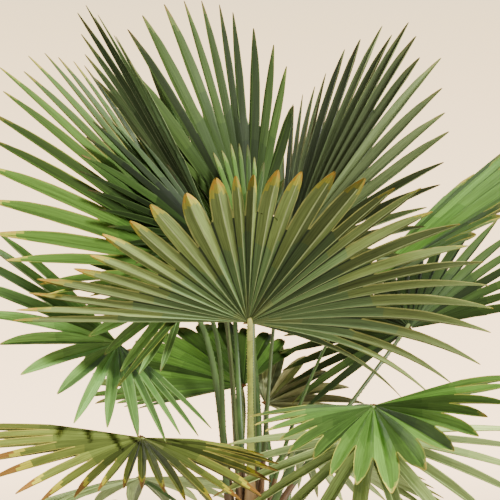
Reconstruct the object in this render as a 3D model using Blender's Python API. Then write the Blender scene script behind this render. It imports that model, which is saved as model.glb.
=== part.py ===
"""Potted Chinese windmill palm: clay pot, soil, trunk, petioles and pleated fan blades.

Metres, Z up. The origin is the centre of the pot's flat underside, and the photo looks along +Y.
A leaf is two objects: a petiole from the trunk to the hub, and a blade, which is a pleated fan
that is joined near the hub and cut between its segments further out.
"""

import math

import bmesh
import bpy
import numpy as np
from mathutils import Vector
from mathutils.bvhtree import BVHTree

GAP = 0.0003
CLEAR = 0.0008

# Pot
POT_HEIGHT = 0.33
POT_BASE_RADIUS = 0.130
POT_TOP_RADIUS = 0.172
RIM_RADIUS = 0.182
RIM_HEIGHT = 0.045
WALL = 0.012
FLOOR = 0.016
POT_SIDES = 48

# Soil
SOIL_TOP = 0.290
SOIL_MOUND = 0.006

# Trunk
TRUNK_TOP = 0.770
TRUNK_SHOULDER = 0.700
TRUNK_RADIUS = 0.047
TRUNK_FLARE = 0.016
TRUNK_SIDES = 32

# Blades
HUB_HOLE = 0.014
THICK = 0.0046
PLEAT = 0.0042
PLEAT_SHARE = 0.30
STEPS = 12
MOST_STEPS = 16

# Petioles
PETIOLE_SIDES = 8
PETIOLE_STATIONS = 7
PETIOLE_BASE = 0.0075
PETIOLE_MIDDLE = 0.0044
PETIOLE_TIP = 0.0040

# One row a leaf. hub is where the ribs meet. az is the way that the middle rib points, with 0
# towards the camera and 90 to the right. el is its rise and roll its turn about itself, degrees.
# reach is the longest rib in metres. angles, lengths and droops are spread evenly over the fan.
# count is the number of segments, split the share of the length at which they part, and taper
# their width at two places further out. base is where the petiole leaves the trunk, as a way
# round and a height, and lean is how far it starts from upright. arrive is the way and rise in
# which it meets the hub and arch the length of its two handles, where the usual ones don't do.
# split and each taper may be one number, or values spread evenly over the fan.
# The order is the order in which room is given out.
LEAVES = [
    dict(name="leaf_01", hub=(-0.004, -0.23, 1.086), az=16.5, el=43.0, roll=1.2, reach=0.426, cup=-0.18,
         angles=(74.9, 67.5, 57.3, 46.4, 33.4, 17.8, 9.6, -3.9, -20.8, -30.3, -44.2, -55.5, -70.6,
                  -87.7, -99.9),
         lengths=(1.019, 1.051, 0.94, 0.947, 0.941, 0.949, 0.834, 0.893, 0.943, 0.925, 0.969, 0.914,
                  1.01, 0.879, 0.771), droops=(0.025, -0.009, 0.051, 0.099, 0.338, 0.847), count=30,
         split=(0.56, 0.56, 0.57, 0.59, 0.61, 0.74, 0.76, 0.62, 0.61, 0.59, 0.56, 0.53, 0.5, 0.43, 0.36),
         taper=((0.94, 0.94, 0.94, 0.9, 0.7), (0.66, 0.66, 0.66, 0.5, 0.3)), base=(0, 0.745), lean=12,
         stout=1.15, arrive=(1, 64)),
    dict(name="leaf_02", hub=(0.0, 0.1, 1.225), az=220.5, el=74.5, roll=7.5, reach=0.479, cup=-0.027,
         angles=(-48.4, -36.4, -28.1, -21.7, -12.7, -6.4, -0.8, 4.6, 8.8, 16.6, 23.2, 28.6, 35.4, 45.8),
         lengths=(0.461, 0.874, 0.905, 0.996, 1.003, 1.012, 1.016, 1.034, 0.978, 1.003, 0.905, 0.91,
                  0.769, 0.397), droops=(0.127, 0.113, 0.118), count=14, split=0.5, taper=(0.95, 0.58),
         base=(170, 0.752), lean=5),
    dict(name="leaf_03", hub=(0.062, 0.12, 1.184), az=91.7, el=64.6, roll=22.2, reach=0.484, cup=-0.067,
         angles=(-59.0, -47.9, -40.4, -30.6, -14.7, -1.7, 8.1, 20.2, 34.4, 47.8, 58.0, 67.1, 82.6),
         lengths=(0.876, 0.889, 0.97, 0.899, 1.063, 1.005, 1.018, 1.044, 0.954, 0.969, 0.941, 0.889,
                  0.855, 0.829, 0.757), droops=(0.139, 0.123, 0.124), count=23,
         split=(0.46, 0.54, 0.64, 0.52, 0.46), taper=(0.9, 0.5), base=(110, 0.752), lean=6),
    dict(name="leaf_04", hub=(-0.06, -0.1, 1.166), az=-37.5, el=7.5, roll=-56.6, reach=0.507, cup=0.135,
         angles=(63.2, 57.0, 50.4, 41.8, 33.4, 22.0, 11.7, 0.4, -9.0, -13.4, -18.0, -24.4, -32.2),
         lengths=(0.859, 0.9, 0.952, 1.001, 1.002, 1.05, 1.059, 1.025, 0.979, 0.968, 0.95, 0.892, 0.822),
         droops=(0.125, 0.109, 0.132), count=22, split=(0.54, 0.54, 0.52, 0.46, 0.42),
         taper=(0.93, 0.58), base=(-65, 0.75), lean=6),
    dict(name="leaf_05", hub=(-0.066, 0.05, 1.239), az=-100.1, el=54.5, roll=17.5, reach=0.468,
         cup=0.06, angles=(-47.0, -40.7, -27.0, 0.0, 30.0), lengths=(0.82, 0.99, 1.05, 0.88, 0.66),
         droops=(0.18, 0.05, 0.15), count=13, split=0.48, taper=(0.88, 0.5), base=(-110, 0.752),
         lean=5),
    dict(name="leaf_06", hub=(-0.229, -0.12, 1.045), az=-6.1, el=-19.9, roll=-28.5, reach=0.327,
         cup=0.236, angles=(104.2, 51.6, 12.2, -20.0, -42.0), lengths=(0.9, 1.01, 0.94, 0.96, 0.9),
         droops=(0.12, 0.11, 0.11), count=15, split=0.44, taper=(0.88, 0.56), base=(-100, 0.69), lean=5,
         arrive=(-60, -40), arch=(0.95, 0.55)),
    dict(name="leaf_07", hub=(0.201, -0.3, 0.952), az=2.2, el=-15.2, roll=7.8, reach=0.298, cup=0.311,
         angles=(60.5, 34.1, 5.7, -30.3, -63.0), lengths=(0.77, 0.91, 1.1, 0.96, 0.87),
         droops=(0.11, 0.14, 0.1), count=16, split=(0.58, 0.66, 0.7, 0.68, 0.62), taper=(0.86, 0.52),
         base=(40, 0.69), lean=16, arrive=(24, -8)),
    dict(name="leaf_08", hub=(-0.178, -0.28, 0.898), az=-19.6, el=-6.4, roll=-11.2, reach=0.371,
         cup=0.104, angles=(45.7, 7.3, -20.0, -48.4, -98.4),
         lengths=(0.92, 0.98, 1.01, 0.9, 0.74, 0.86, 0.95, 0.75, 0.55), droops=(0.13, 0.1, 0.13),
         count=20, split=0.48, taper=(0.94, 0.6), base=(-30, 0.68), lean=45),
    dict(name="leaf_09", hub=(0.182, 0.03, 1.115), az=63.0, el=32.7, roll=22.3, reach=0.462, cup=0.134,
         angles=(-42.2, -29.4, -5.1, 17.8, 34.1), lengths=(0.79, 1.06, 1.05, 0.88, 0.9),
         droops=(0.16, 0.1, 0.14), count=9, split=0.78, taper=(0.9, 0.55), base=(66, 0.728), lean=14),
    dict(name="leaf_10", hub=(0.3, 0.14, 1.059), az=141.0, el=45.0, roll=0.0, reach=0.3, cup=0.0,
         angles=(72.0, 20.0, -35.0, -90.0, -145.0), lengths=(0.98, 1.0, 0.98, 0.95, 0.85),
         droops=(0.1, 0.1, 0.15), count=22, split=0.5, taper=(0.86, 0.5), base=(105, 0.718), lean=35,
         arrive=(158, 22)),
    dict(name="leaf_11", hub=(0.202, -0.22, 0.897), az=-8.0, el=-27.0, roll=4.4, reach=0.32, cup=-0.1,
         angles=(100.8, 45.8, -6.9, -56.3, -100.5), lengths=(0.8, 0.9, 1.0, 0.96, 0.87),
         droops=(0.11, 0.13, 0.13), count=14, split=0.3, taper=(0.94, 0.6), base=(28, 0.665), lean=45),
    dict(name="leaf_12", hub=(-0.013, 0.22, 0.945), az=-122.0, el=15.9, roll=-23.1, reach=0.317,
         cup=-0.048, angles=(86.4, 43.9, 0.0, -36.0, -52.0), lengths=(0.66, 0.91, 0.88, 0.97, 0.67),
         droops=(0.12, 0.12, 0.11), count=18, split=(0.7, 0.78, 0.8, 0.8, 0.6), taper=(0.9, 0.6),
         base=(-160, 0.69), lean=30),
    dict(name="leaf_13", hub=(0.03, 0.29, 0.905), az=145.9, el=7.9, roll=34.1, reach=0.3, cup=0.054,
         angles=(-58.7, -31.0, -2.0, 29.6, 60.5), lengths=(0.6, 0.92, 0.98, 0.85, 0.6),
         droops=(0.1, 0.15, 0.11), count=12, split=0.5, taper=(0.9, 0.55), base=(150, 0.68), lean=40),
    dict(name="leaf_14", hub=(0.093, 0.1, 0.853), az=140.0, el=-25.0, roll=0.0, reach=0.33, cup=-0.1,
         angles=(84.0, 44.0, 4.0, -26.0, -50.0), lengths=(0.8, 0.95, 1.0, 0.95, 0.8),
         droops=(0.2, 0.15, 0.2), count=14, split=0.45, taper=(0.85, 0.45), base=(122, 0.655), lean=40),
    dict(name="leaf_15", hub=(0.0, 0.34, 1.1), az=178.0, el=8.0, roll=0.0, reach=0.37, cup=-0.05,
         angles=(100.0, 50.0, 0.0, -50.0, -100.0), lengths=(0.75, 0.95, 1.0, 0.95, 0.75),
         droops=(0.1, 0.15, 0.1), count=20, split=0.5, taper=(0.9, 0.55), base=(165, 0.715), lean=20),
    dict(name="leaf_16", hub=(-0.21, 0.21, 0.77), az=-140.0, el=-12.0, roll=0.0, reach=0.37, cup=-0.12,
         angles=(95.0, 48.0, 0.0, -48.0, -95.0), lengths=(0.75, 0.95, 1.0, 0.95, 0.75),
         droops=(0.25, 0.2, 0.25), count=16, split=0.45, taper=(0.88, 0.5), base=(-135, 0.65), lean=60),
    dict(name="leaf_17", hub=(0.27, 0.06, 0.745), az=80.0, el=-14.0, roll=0.0, reach=0.35, cup=-0.12,
         angles=(90.0, 45.0, 0.0, -45.0, -90.0), lengths=(0.75, 0.95, 1.0, 0.95, 0.75),
         droops=(0.25, 0.2, 0.25), count=16, split=0.45, taper=(0.88, 0.5), base=(78, 0.64), lean=65),
    dict(name="leaf_18", hub=(-0.27, 0.02, 0.745), az=-92.0, el=-14.0, roll=0.0, reach=0.35, cup=-0.12,
         angles=(90.0, 45.0, 0.0, -45.0, -90.0), lengths=(0.75, 0.95, 1.0, 0.95, 0.75),
         droops=(0.25, 0.2, 0.25), count=16, split=0.45, taper=(0.88, 0.5), base=(-88, 0.645), lean=65),
    dict(name="leaf_19", hub=(-0.003, 0.0, 1.188), az=222.0, el=80.0, roll=0.0, reach=0.216, cup=0.0,
         angles=(-14.0, -5.0, 3.0, 11.0, 19.0), lengths=(0.92, 1.0, 1.0, 0.98, 0.9),
         droops=(0.02, 0.02, 0.02), count=7, split=0.55, taper=(0.95, 0.86), base=(60, 0.769), lean=2),
    dict(name="leaf_20", hub=(-0.067, -0.13, 1.218), az=-49.4, el=26.9, roll=-52.5, reach=0.313,
         cup=0.018, angles=(58.0, 27.0, 0.3, -19.7, -38.6), lengths=(0.55, 0.97, 0.97, 0.97, 0.87),
         droops=(0.12, 0.12, 0.12), count=12, split=0.42, taper=(0.88, 0.5), base=(-38, 0.725), lean=6),
    dict(name="leaf_21", hub=(-0.107, -0.17, 1.138), az=-60.0, el=-32.0, roll=-62.0, reach=0.195,
         cup=0.0, angles=(70.0, 40.0, 12.0, -12.0, -33.0), lengths=(0.86, 0.95, 1.0, 0.97, 0.84),
         droops=(0.1, 0.1, 0.1), count=9, split=0.48, taper=(0.96, 0.62), base=(-62, 0.69), lean=14,
         arrive=(-60, 10)),
    dict(name="leaf_22", hub=(-0.045, 0.17, 1.229), az=-100.0, el=60.0, roll=90.0, reach=0.4, cup=0.0,
         angles=(-26.0, -6.0, 4.0, 11.0, 17.0), lengths=(0.46, 0.95, 1.0, 0.92, 0.82),
         droops=(0.05, 0.05, 0.05), count=9, split=0.5, taper=(0.86, 0.45), base=(-150, 0.735), lean=5),
]

BASE_COLOURS = {"pot": (0.55, 0.24, 0.13), "soil": (0.06, 0.04, 0.025), "trunk": (0.16, 0.10, 0.06),
          "petiole": (0.22, 0.30, 0.08), "blade": (0.10, 0.22, 0.05)}


def clear_scene():
    """Removes everything that the startup scene holds."""
    for obj in list(bpy.data.objects):
        bpy.data.objects.remove(obj, do_unlink=True)


def material_of(kind):
    """The plain Principled material of one kind of sub-part."""
    found = bpy.data.materials.get(kind)
    if found:
        return found
    made = bpy.data.materials.new(kind)
    made.use_nodes = True
    shader = made.node_tree.nodes["Principled BSDF"]
    shader.inputs["Base Color"].default_value = (*BASE_COLOURS[kind], 1.0)
    shader.inputs["Roughness"].default_value = 0.7
    return made


def add_mesh(name, kind, points, faces):
    """A closed mesh object with its faces turned outwards."""
    data = bpy.data.meshes.new(name)
    data.from_pydata([tuple(map(float, p)) for p in points], [], faces)
    shape = bmesh.new()
    shape.from_mesh(data)
    bmesh.ops.recalc_face_normals(shape, faces=shape.faces)
    shape.to_mesh(data)
    shape.free()
    data.materials.append(material_of(kind))
    obj = bpy.data.objects.new(name, data)
    bpy.context.scene.collection.objects.link(obj)
    return obj


def turned(profile, sides):
    """A solid of revolution from (radius, height) pairs. A radius of 0 is one point on the axis."""
    points = []
    rings = []
    for radius, height in profile:
        if radius == 0:
            rings.append([len(points)] * sides)
            points.append((0.0, 0.0, height))
            continue
        rings.append(list(range(len(points), len(points) + sides)))
        for k in range(sides):
            turn = 2 * math.pi * k / sides
            points.append((radius * math.cos(turn), radius * math.sin(turn), height))
    faces = []
    for low, high in zip(rings, rings[1:]):
        for k in range(sides):
            j = (k + 1) % sides
            face = [low[k], low[j], high[j], high[k]]
            faces.append([v for n, v in enumerate(face) if v not in face[:n]])
    return points, faces


def build_pot():
    """A plain clay pot with a rolled rim. It is filled, so it has no drain hole."""
    rim_low = POT_HEIGHT - RIM_HEIGHT
    slope = (POT_TOP_RADIUS - POT_BASE_RADIUS) / POT_HEIGHT
    inner_floor = POT_BASE_RADIUS + slope * FLOOR - WALL
    inner_top = POT_TOP_RADIUS - WALL
    profile = [
        (0, 0.0),
        (POT_BASE_RADIUS - 0.006, 0.0),
        (POT_BASE_RADIUS, 0.005),
        (POT_BASE_RADIUS + slope * rim_low, rim_low),
        (RIM_RADIUS - 0.002, rim_low + 0.002),
        (RIM_RADIUS, rim_low + 0.007),
        (RIM_RADIUS, POT_HEIGHT - 0.008),
        (RIM_RADIUS - 0.004, POT_HEIGHT - 0.001),
        (RIM_RADIUS - 0.009, POT_HEIGHT),
        (inner_top + 0.004, POT_HEIGHT - 0.002),
        (inner_top, POT_HEIGHT - 0.008),
        (inner_floor, FLOOR),
        (0, FLOOR),
    ]
    points, faces = turned(profile, POT_SIDES)
    add_mesh("pot", "pot", points, faces)
    return inner_floor, inner_top


def build_soil(inner_floor, inner_top):
    """Soil that fills the pot. Its top is flat under the trunk and sinks a little to the wall."""
    span = POT_HEIGHT - 0.008 - FLOOR
    low = FLOOR + GAP
    edge = SOIL_TOP - SOIL_MOUND
    low_radius, edge_radius = (
        inner_floor + (inner_top - inner_floor) * (z - FLOOR) / span - GAP / 0.98 for z in (low, edge)
    )
    profile = [
        (0, low),
        (low_radius, low),
        (edge_radius, edge),
        (0.145, edge + 0.001),
        (0.110, SOIL_TOP - 0.001),
        (0.085, SOIL_TOP),
        (0, SOIL_TOP),
    ]
    points, faces = turned(profile, POT_SIDES)
    add_mesh("soil", "soil", points, faces)


def trunk_radius(z):
    """The trunk's radius at a height: a flare at the soil, a slow taper, and a domed top."""
    foot = TRUNK_FLARE * math.exp(-(z - SOIL_TOP) / 0.05)
    plain = TRUNK_RADIUS + foot + 0.004 * math.sin(9.0 * (z - SOIL_TOP))
    if z <= TRUNK_SHOULDER:
        return plain
    share = min((z - TRUNK_SHOULDER) / (TRUNK_TOP - TRUNK_SHOULDER), 1.0)
    return plain * math.sqrt(max(1 - share * share, 0.0))


def trunk_axis(z):
    """The trunk's slight lean, as the x and y of its middle at a height."""
    rise = (z - SOIL_TOP) / (TRUNK_TOP - SOIL_TOP)
    return 0.006 * math.sin(math.pi * rise), -0.004 * math.sin(math.pi * rise)


def build_trunk():
    """The trunk from its flat cut on the soil to its domed top."""
    heights = list(np.linspace(SOIL_TOP + GAP, TRUNK_SHOULDER, 13))
    heights += [TRUNK_SHOULDER + (TRUNK_TOP - TRUNK_SHOULDER) * math.sin(a)
                for a in np.radians([14, 28, 42, 56, 68, 79])]
    points = []
    for z in heights:
        cx, cy = trunk_axis(z)
        radius = trunk_radius(z)
        for k in range(TRUNK_SIDES):
            turn = 2 * math.pi * k / TRUNK_SIDES
            points.append((cx + radius * math.cos(turn), cy + radius * math.sin(turn), z))
    faces = []
    for row in range(len(heights) - 1):
        for k in range(TRUNK_SIDES):
            j = (k + 1) % TRUNK_SIDES
            a, b = row * TRUNK_SIDES, (row + 1) * TRUNK_SIDES
            faces.append([a + k, a + j, b + j, b + k])
    low = len(points)
    points.append((*trunk_axis(heights[0]), heights[0]))
    points.append((*trunk_axis(TRUNK_TOP), TRUNK_TOP))
    last = (len(heights) - 1) * TRUNK_SIDES
    for k in range(TRUNK_SIDES):
        j = (k + 1) % TRUNK_SIDES
        faces.append([k, j, low])
        faces.append([last + k, last + j, low + 1])
    add_mesh("trunk", "trunk", points, faces)


def outside_trunk(p):
    """How far a point stands outside the trunk, roughly, in metres."""
    z = min(max(p[2], SOIL_TOP), TRUNK_TOP - 1e-6)
    cx, cy = trunk_axis(z)
    level = math.hypot(p[0] - cx, p[1] - cy) - trunk_radius(z)
    step = 1e-4
    slope = (trunk_radius(z) - trunk_radius(max(z - step, SOIL_TOP))) / step
    near = level / math.sqrt(1 + slope * slope)
    return max(near, p[2] - TRUNK_TOP)


def leaf_frame(leaf):
    """The middle rib, the way to its side and the upper face of a blade, as unit vectors."""
    az, el, roll = np.radians([leaf["az"], leaf["el"], leaf["roll"]])
    level = np.array([math.sin(az), -math.cos(az), 0.0])
    up = np.array([0.0, 0.0, 1.0])
    rib = math.cos(el) * level + math.sin(el) * up
    face = -math.sin(el) * level + math.cos(el) * up
    side = np.cross(rib, face)
    face = math.cos(roll) * face + math.sin(roll) * side
    return rib, np.cross(rib, face), face


def spread(values, x):
    """A property across the fan: evenly spaced values joined by lines and carried on past the ends."""
    values = np.asarray(values, float)
    knots = np.linspace(-1, 1, len(values))
    found = np.interp(x, knots, values)
    gap = knots[1] - knots[0]
    found = np.where(x > 1, values[-1] + (values[-1] - values[-2]) / gap * (x - 1), found)
    return np.where(x < -1, values[0] + (values[1] - values[0]) / gap * (x + 1), found)


def level_out(values, x):
    """One value for the whole fan, or evenly spaced values joined by lines."""
    values = np.atleast_1d(np.asarray(values, float))
    return np.interp(x, np.linspace(-1, 1, len(values)), values)


def rib_paths(leaf, x):
    """Rib points for places x across the fan, -1 to 1, each twelfth of the rib's own length."""
    x = np.asarray(x, float)
    rib, side, face = leaf_frame(leaf)
    turn = np.radians(spread(leaf["angles"], x))
    lean = leaf["cup"] * np.abs(np.sin(turn))
    way = np.cos(turn)[:, None] * rib + np.sin(turn)[:, None] * side + lean[:, None] * face
    way /= np.linalg.norm(way, axis=1)[:, None]
    length = leaf["reach"] * level_out(leaf["lengths"], x)
    droop = level_out(leaf["droops"], x)
    at = np.tile(np.array(leaf["hub"], float), (len(x), 1))
    path = [at]
    for k in range(MOST_STEPS):
        share = (k + 0.5) / STEPS
        step = way - np.array([0.0, 0.0, 1.0]) * (droop * share * share)[:, None]
        step /= np.linalg.norm(step, axis=1)[:, None]
        at = at + step * (length / STEPS)[:, None]
        path.append(at)
    return np.stack(path, 1), length


def along(paths, share):
    """The point of each path at its share of the rib's length."""
    place = np.clip(np.broadcast_to(share, len(paths)) * STEPS, 0, MOST_STEPS - 1e-6)
    low = np.floor(place).astype(int)
    part = (place - low)[:, None]
    rows = np.arange(len(paths))
    return paths[rows, low] * (1 - part) + paths[rows, low + 1] * part


def unit(v):
    """A vector, or rows of them, made one long."""
    return v / np.linalg.norm(v, axis=-1, keepdims=True)


def wobble(seed, k):
    """A repeatable value from -1 to 1."""
    value = math.sin(seed * 12.9898 + k * 78.233) * 43758.5453
    return 2 * (value - math.floor(value)) - 1


class Fan:
    """The places of one blade's ribs, folds and segments."""

    def __init__(self, leaf, seed):
        self.leaf = leaf
        self.count = leaf["count"]
        half = 1.0 / (self.count - 1)
        self.rib_x = np.linspace(-1, 1, self.count)
        self.fold_x = np.linspace(-1 - half, 1 + half, self.count + 1)
        self.turn = math.copysign(1.0, leaf["angles"][-1] - leaf["angles"][0])
        self.ribs, self.rib_length = rib_paths(leaf, self.rib_x)
        self.folds, self.fold_length = rib_paths(leaf, self.fold_x)
        near = 0.02
        self.rib_sides = [rib_paths(leaf, self.rib_x + side * near)[0] for side in (-1, 1)]
        self.fold_sides = [rib_paths(leaf, self.fold_x + side * near)[0] for side in (-1, 1)]
        uneven = np.array([1 + 0.07 * wobble(seed, j) for j in range(self.count + 1)])
        self.split = level_out(leaf["split"], self.fold_x) * uneven
        self.ends = np.array([1 + 0.045 * wobble(seed + 0.5, i) for i in range(self.count)])
        self.lift = np.zeros(self.count)

    def local(self, paths, sides, share):
        """Points, sideways ways and upper-face ways at a share of the length."""
        at = along(paths, share)
        across = unit(along(sides[1], share) - along(sides[0], share))
        ahead = unit(along(paths, np.asarray(share) + 0.04) - along(paths, np.asarray(share) - 0.04))
        face = unit(np.cross(across, ahead)) * self.turn
        return at, across, face

    def half_width(self, share):
        """Half the distance between neighbouring folds at a share of the rib's length."""
        edge = along(self.folds, share)
        return 0.5 * np.linalg.norm(edge[1:] - edge[:-1], axis=1)

    def joined_row(self, rib_share, fold_share):
        """Top and bottom points of the folds and ribs for one row of the joined part."""
        edge_at, _, edge_face = self.local(self.folds, self.fold_sides, fold_share)
        rib_at, _, rib_face = self.local(self.ribs, self.rib_sides, rib_share)
        wide = self.half_width(np.mean(fold_share))
        depth = np.minimum(PLEAT_SHARE * wide, PLEAT)
        edge_depth = np.minimum(PLEAT_SHARE * np.interp(self.fold_x, self.rib_x, wide), PLEAT)
        half = THICK / 2
        return (
            edge_at + edge_face * (edge_depth / 2 + half)[:, None],
            edge_at + edge_face * (edge_depth / 2 - half)[:, None],
            rib_at + rib_face * (-depth / 2 + half)[:, None],
            rib_at + rib_face * (-depth / 2 - half)[:, None],
        )

    def segment_rows(self, i, end, lift, spare=0.0):
        """Left, right and keel points of a free segment's two rows, and its tip."""
        start = 0.5 * (self.split[i] + self.split[i + 1])
        full = self.half_width(start)[i]
        paths = self.ribs[i:i + 1]
        sides = [s[i:i + 1] for s in self.rib_sides]
        rows = []
        for place, taper in zip((0.45, 0.82), self.leaf["taper"]):
            share = start + (end - start) * place
            at, across, face = (v[0] for v in self.local(paths, sides, share))
            at = at + face * lift * place * (end - start) * self.rib_length[i]
            narrow = level_out(taper, self.rib_x[i])
            wide = full * narrow + spare
            deep = min(PLEAT_SHARE * full * narrow, PLEAT) / 2
            above = face * (deep + spare)
            below = face * (deep + THICK / 2 + spare)
            rows.append((at - across * wide + above, at + across * wide + above, at - below))
        at, across, face = (v[0] for v in self.local(paths, sides, end))
        tip = at + face * lift * (end - start) * self.rib_length[i]
        return rows, tip

    def start_points(self):
        """The outer row of the joined part, where the segments start."""
        return self.joined_row(0.5 * (self.split[1:] + self.split[:-1]), self.split)


def segment_mesh(fan, i, end, lift, row):
    """The free segment alone, as a closed shape a little bigger than it is, for the room check."""
    edge_top, _, _, rib_low = row
    rows, tip = fan.segment_rows(i, end, lift, CLEAR)
    near = 0.25
    starts = (edge_top[i], edge_top[i + 1], rib_low[i])
    first = [start * (1 - near) + later * near for start, later in zip(starts, rows[0])]
    points = [*first, *rows[0], *rows[1], tip]
    faces = [(0, 2, 1), (0, 1, 4), (0, 4, 3), (0, 3, 5), (0, 5, 2), (1, 2, 5), (1, 5, 4),
             (3, 4, 7), (3, 7, 6), (3, 6, 8), (3, 8, 5), (4, 5, 8), (4, 8, 7),
             (6, 7, 9), (6, 9, 8), (7, 8, 9)]
    return np.array(points), faces


class Room:
    """What is already placed, for telling whether one more piece touches any of it."""

    def __init__(self):
        self.low = []
        self.high = []
        self.trees = []

    def tree_of(self, points, faces):
        return BVHTree.FromPolygons([Vector(p) for p in points], faces)

    def add(self, points, faces):
        points = np.asarray(points)
        self.low.append(points.min(0))
        self.high.append(points.max(0))
        self.trees.append(self.tree_of(points, faces))

    def touches(self, points, faces):
        if not self.trees:
            return False
        low, high = points.min(0), points.max(0)
        close = np.all(np.array(self.low) <= high, 1) & np.all(np.array(self.high) >= low, 1)
        if not close.any():
            return False
        tree = self.tree_of(points, faces)
        return any(tree.overlap(self.trees[k]) for k in np.flatnonzero(close))


def joined_mesh(fan):
    """The joined part of a blade as points and faces, with the rows that its segments start from."""
    first_fold = HUB_HOLE / fan.fold_length
    first_rib = HUB_HOLE / fan.rib_length
    hub = fan.joined_row(first_rib, first_fold)
    split = fan.start_points()
    points = []
    index = []
    for row in (hub, split):
        starts = []
        for block in row:
            starts.append(len(points))
            points.extend(block)
        index.append(starts)
    (et0, eb0, rt0, rb0), (et1, eb1, rt1, rb1) = index
    faces = []
    for i in range(fan.count):
        for low, high, r0, r1 in ((et0, et1, rt0, rt1), (eb0, eb1, rb0, rb1)):
            faces.append([low + i, r0 + i, r1 + i, high + i])
            faces.append([r0 + i, low + i + 1, high + i + 1, r1 + i])
        faces.append([et0 + i, eb0 + i, rb0 + i, rt0 + i])
        faces.append([rt0 + i, rb0 + i, eb0 + i + 1, et0 + i + 1])
    for j in (0, fan.count):
        faces.append([et0 + j, et1 + j, eb1 + j, eb0 + j])
    return points, faces, index


def closed_joined(fan):
    """The joined part closed along its outer edge too, for the room check."""
    points, faces, index = joined_mesh(fan)
    et1, eb1, rt1, rb1 = index[1]
    faces = [list(f) for f in faces]
    for i in range(fan.count):
        faces.append([et1 + i, eb1 + i, rb1 + i, rt1 + i])
        faces.append([rt1 + i, rb1 + i, eb1 + i + 1, et1 + i + 1])
    return points, faces


def build_blade(fan):
    """A pleated blade with its free segments, each a three-sided finger down to a point."""
    points, faces, index = joined_mesh(fan)
    et1, eb1, rt1, rb1 = index[1]
    for i in range(fan.count):
        rows, tip = fan.segment_rows(i, fan.ends[i], fan.lift[i])
        base = len(points)
        for row in rows:
            points.extend(row)
        points.append(tip)
        l2, r2, m2, l3, r3, m3, end = range(base, base + 7)
        faces += [
            [et1 + i, rt1 + i, l2], [rt1 + i, r2, l2], [rt1 + i, et1 + i + 1, r2],
            [eb1 + i, rb1 + i, m2, l2], [rb1 + i, eb1 + i + 1, r2, m2],
            [et1 + i, eb1 + i, l2], [et1 + i + 1, eb1 + i + 1, r2],
            [l2, r2, r3, l3], [l2, m2, m3, l3], [m2, r2, r3, m3],
            [l3, r3, end], [l3, m3, end], [m3, r3, end],
        ]
    add_mesh(fan.leaf["name"] + "_blade", "blade", points, faces)


def give_room(fans, room):
    """Lifts, drops or shortens each free segment that would touch something placed before it."""
    moves = [(1.0, lift) for lift in (0, 0.08, -0.08, 0.16, -0.16, 0.26, -0.26)]
    moves += [(keep, lift) for keep in (0.85, 0.7, 0.55, 0.4, 0.25, 0.12)
              for lift in (0, 0.12, -0.12, 0.26, -0.26)]
    for fan in fans:
        row = fan.start_points()
        for i in range(fan.count):
            start = 0.5 * (fan.split[i] + fan.split[i + 1])
            for keep, lift in moves:
                end = start + (fan.ends[i] - start) * keep
                points, faces = segment_mesh(fan, i, end, lift, row)
                if not room.touches(points, faces):
                    break
            fan.ends[i] = end
            fan.lift[i] = lift
            room.add(points, faces)


def bezier(points, t):
    """The place at t, 0 to 1, on the curve of four control points."""
    a, b, c, d = (np.asarray(p, float) for p in points)
    s = 1 - t
    return s**3 * a + 3 * s * s * t * b + 3 * s * t * t * c + t**3 * d


def petiole_line(leaf):
    """The four control points of a petiole from inside the trunk to its hub, and its point beyond."""
    rib, side, face = leaf_frame(leaf)
    angles = leaf["angles"]
    middle = math.radians(0.5 * (min(angles) + max(angles)))
    ahead = unit(math.cos(middle) * rib + math.sin(middle) * side
                 + leaf["cup"] * abs(math.sin(middle)) * face)
    hub = np.array(leaf["hub"])
    turn, height = math.radians(leaf["base"][0]), leaf["base"][1]
    out = np.array([math.sin(turn), -math.cos(turn), 0.0])
    cx, cy = trunk_axis(height)
    inside = max(trunk_radius(height) - 0.010, 0.0)
    start = np.array([cx, cy, height]) + out * inside
    lean = math.radians(leaf["lean"])
    rise = math.sin(lean) * out + np.array([0.0, 0.0, math.cos(lean)])
    span = float(np.linalg.norm(hub - start))
    if "arrive" in leaf:
        az, el = np.radians(leaf["arrive"])
        way_in = np.array([math.sin(az) * math.cos(el), -math.cos(az) * math.cos(el), math.sin(el)])
    else:
        way_in = unit(0.4 * ahead + 0.6 * (hub - start) / span)
    out_share, in_share = leaf.get("arch", (0.42, 0.25))
    tip = PETIOLE_TIP * leaf.get("stout", 1.0)
    slant = float(np.dot(ahead, way_in))
    room = HUB_HOLE - 0.0013
    sideways = tip * math.sqrt(max(1 - slant * slant, 0.0))
    end = hub + ahead * (math.sqrt(room * room - (tip * slant) ** 2) - sideways)
    line = (start, start + rise * out_share * span, end - way_in * in_share * span, end)
    return line, hub + ahead * (HUB_HOLE - 1.6 * GAP)


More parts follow.
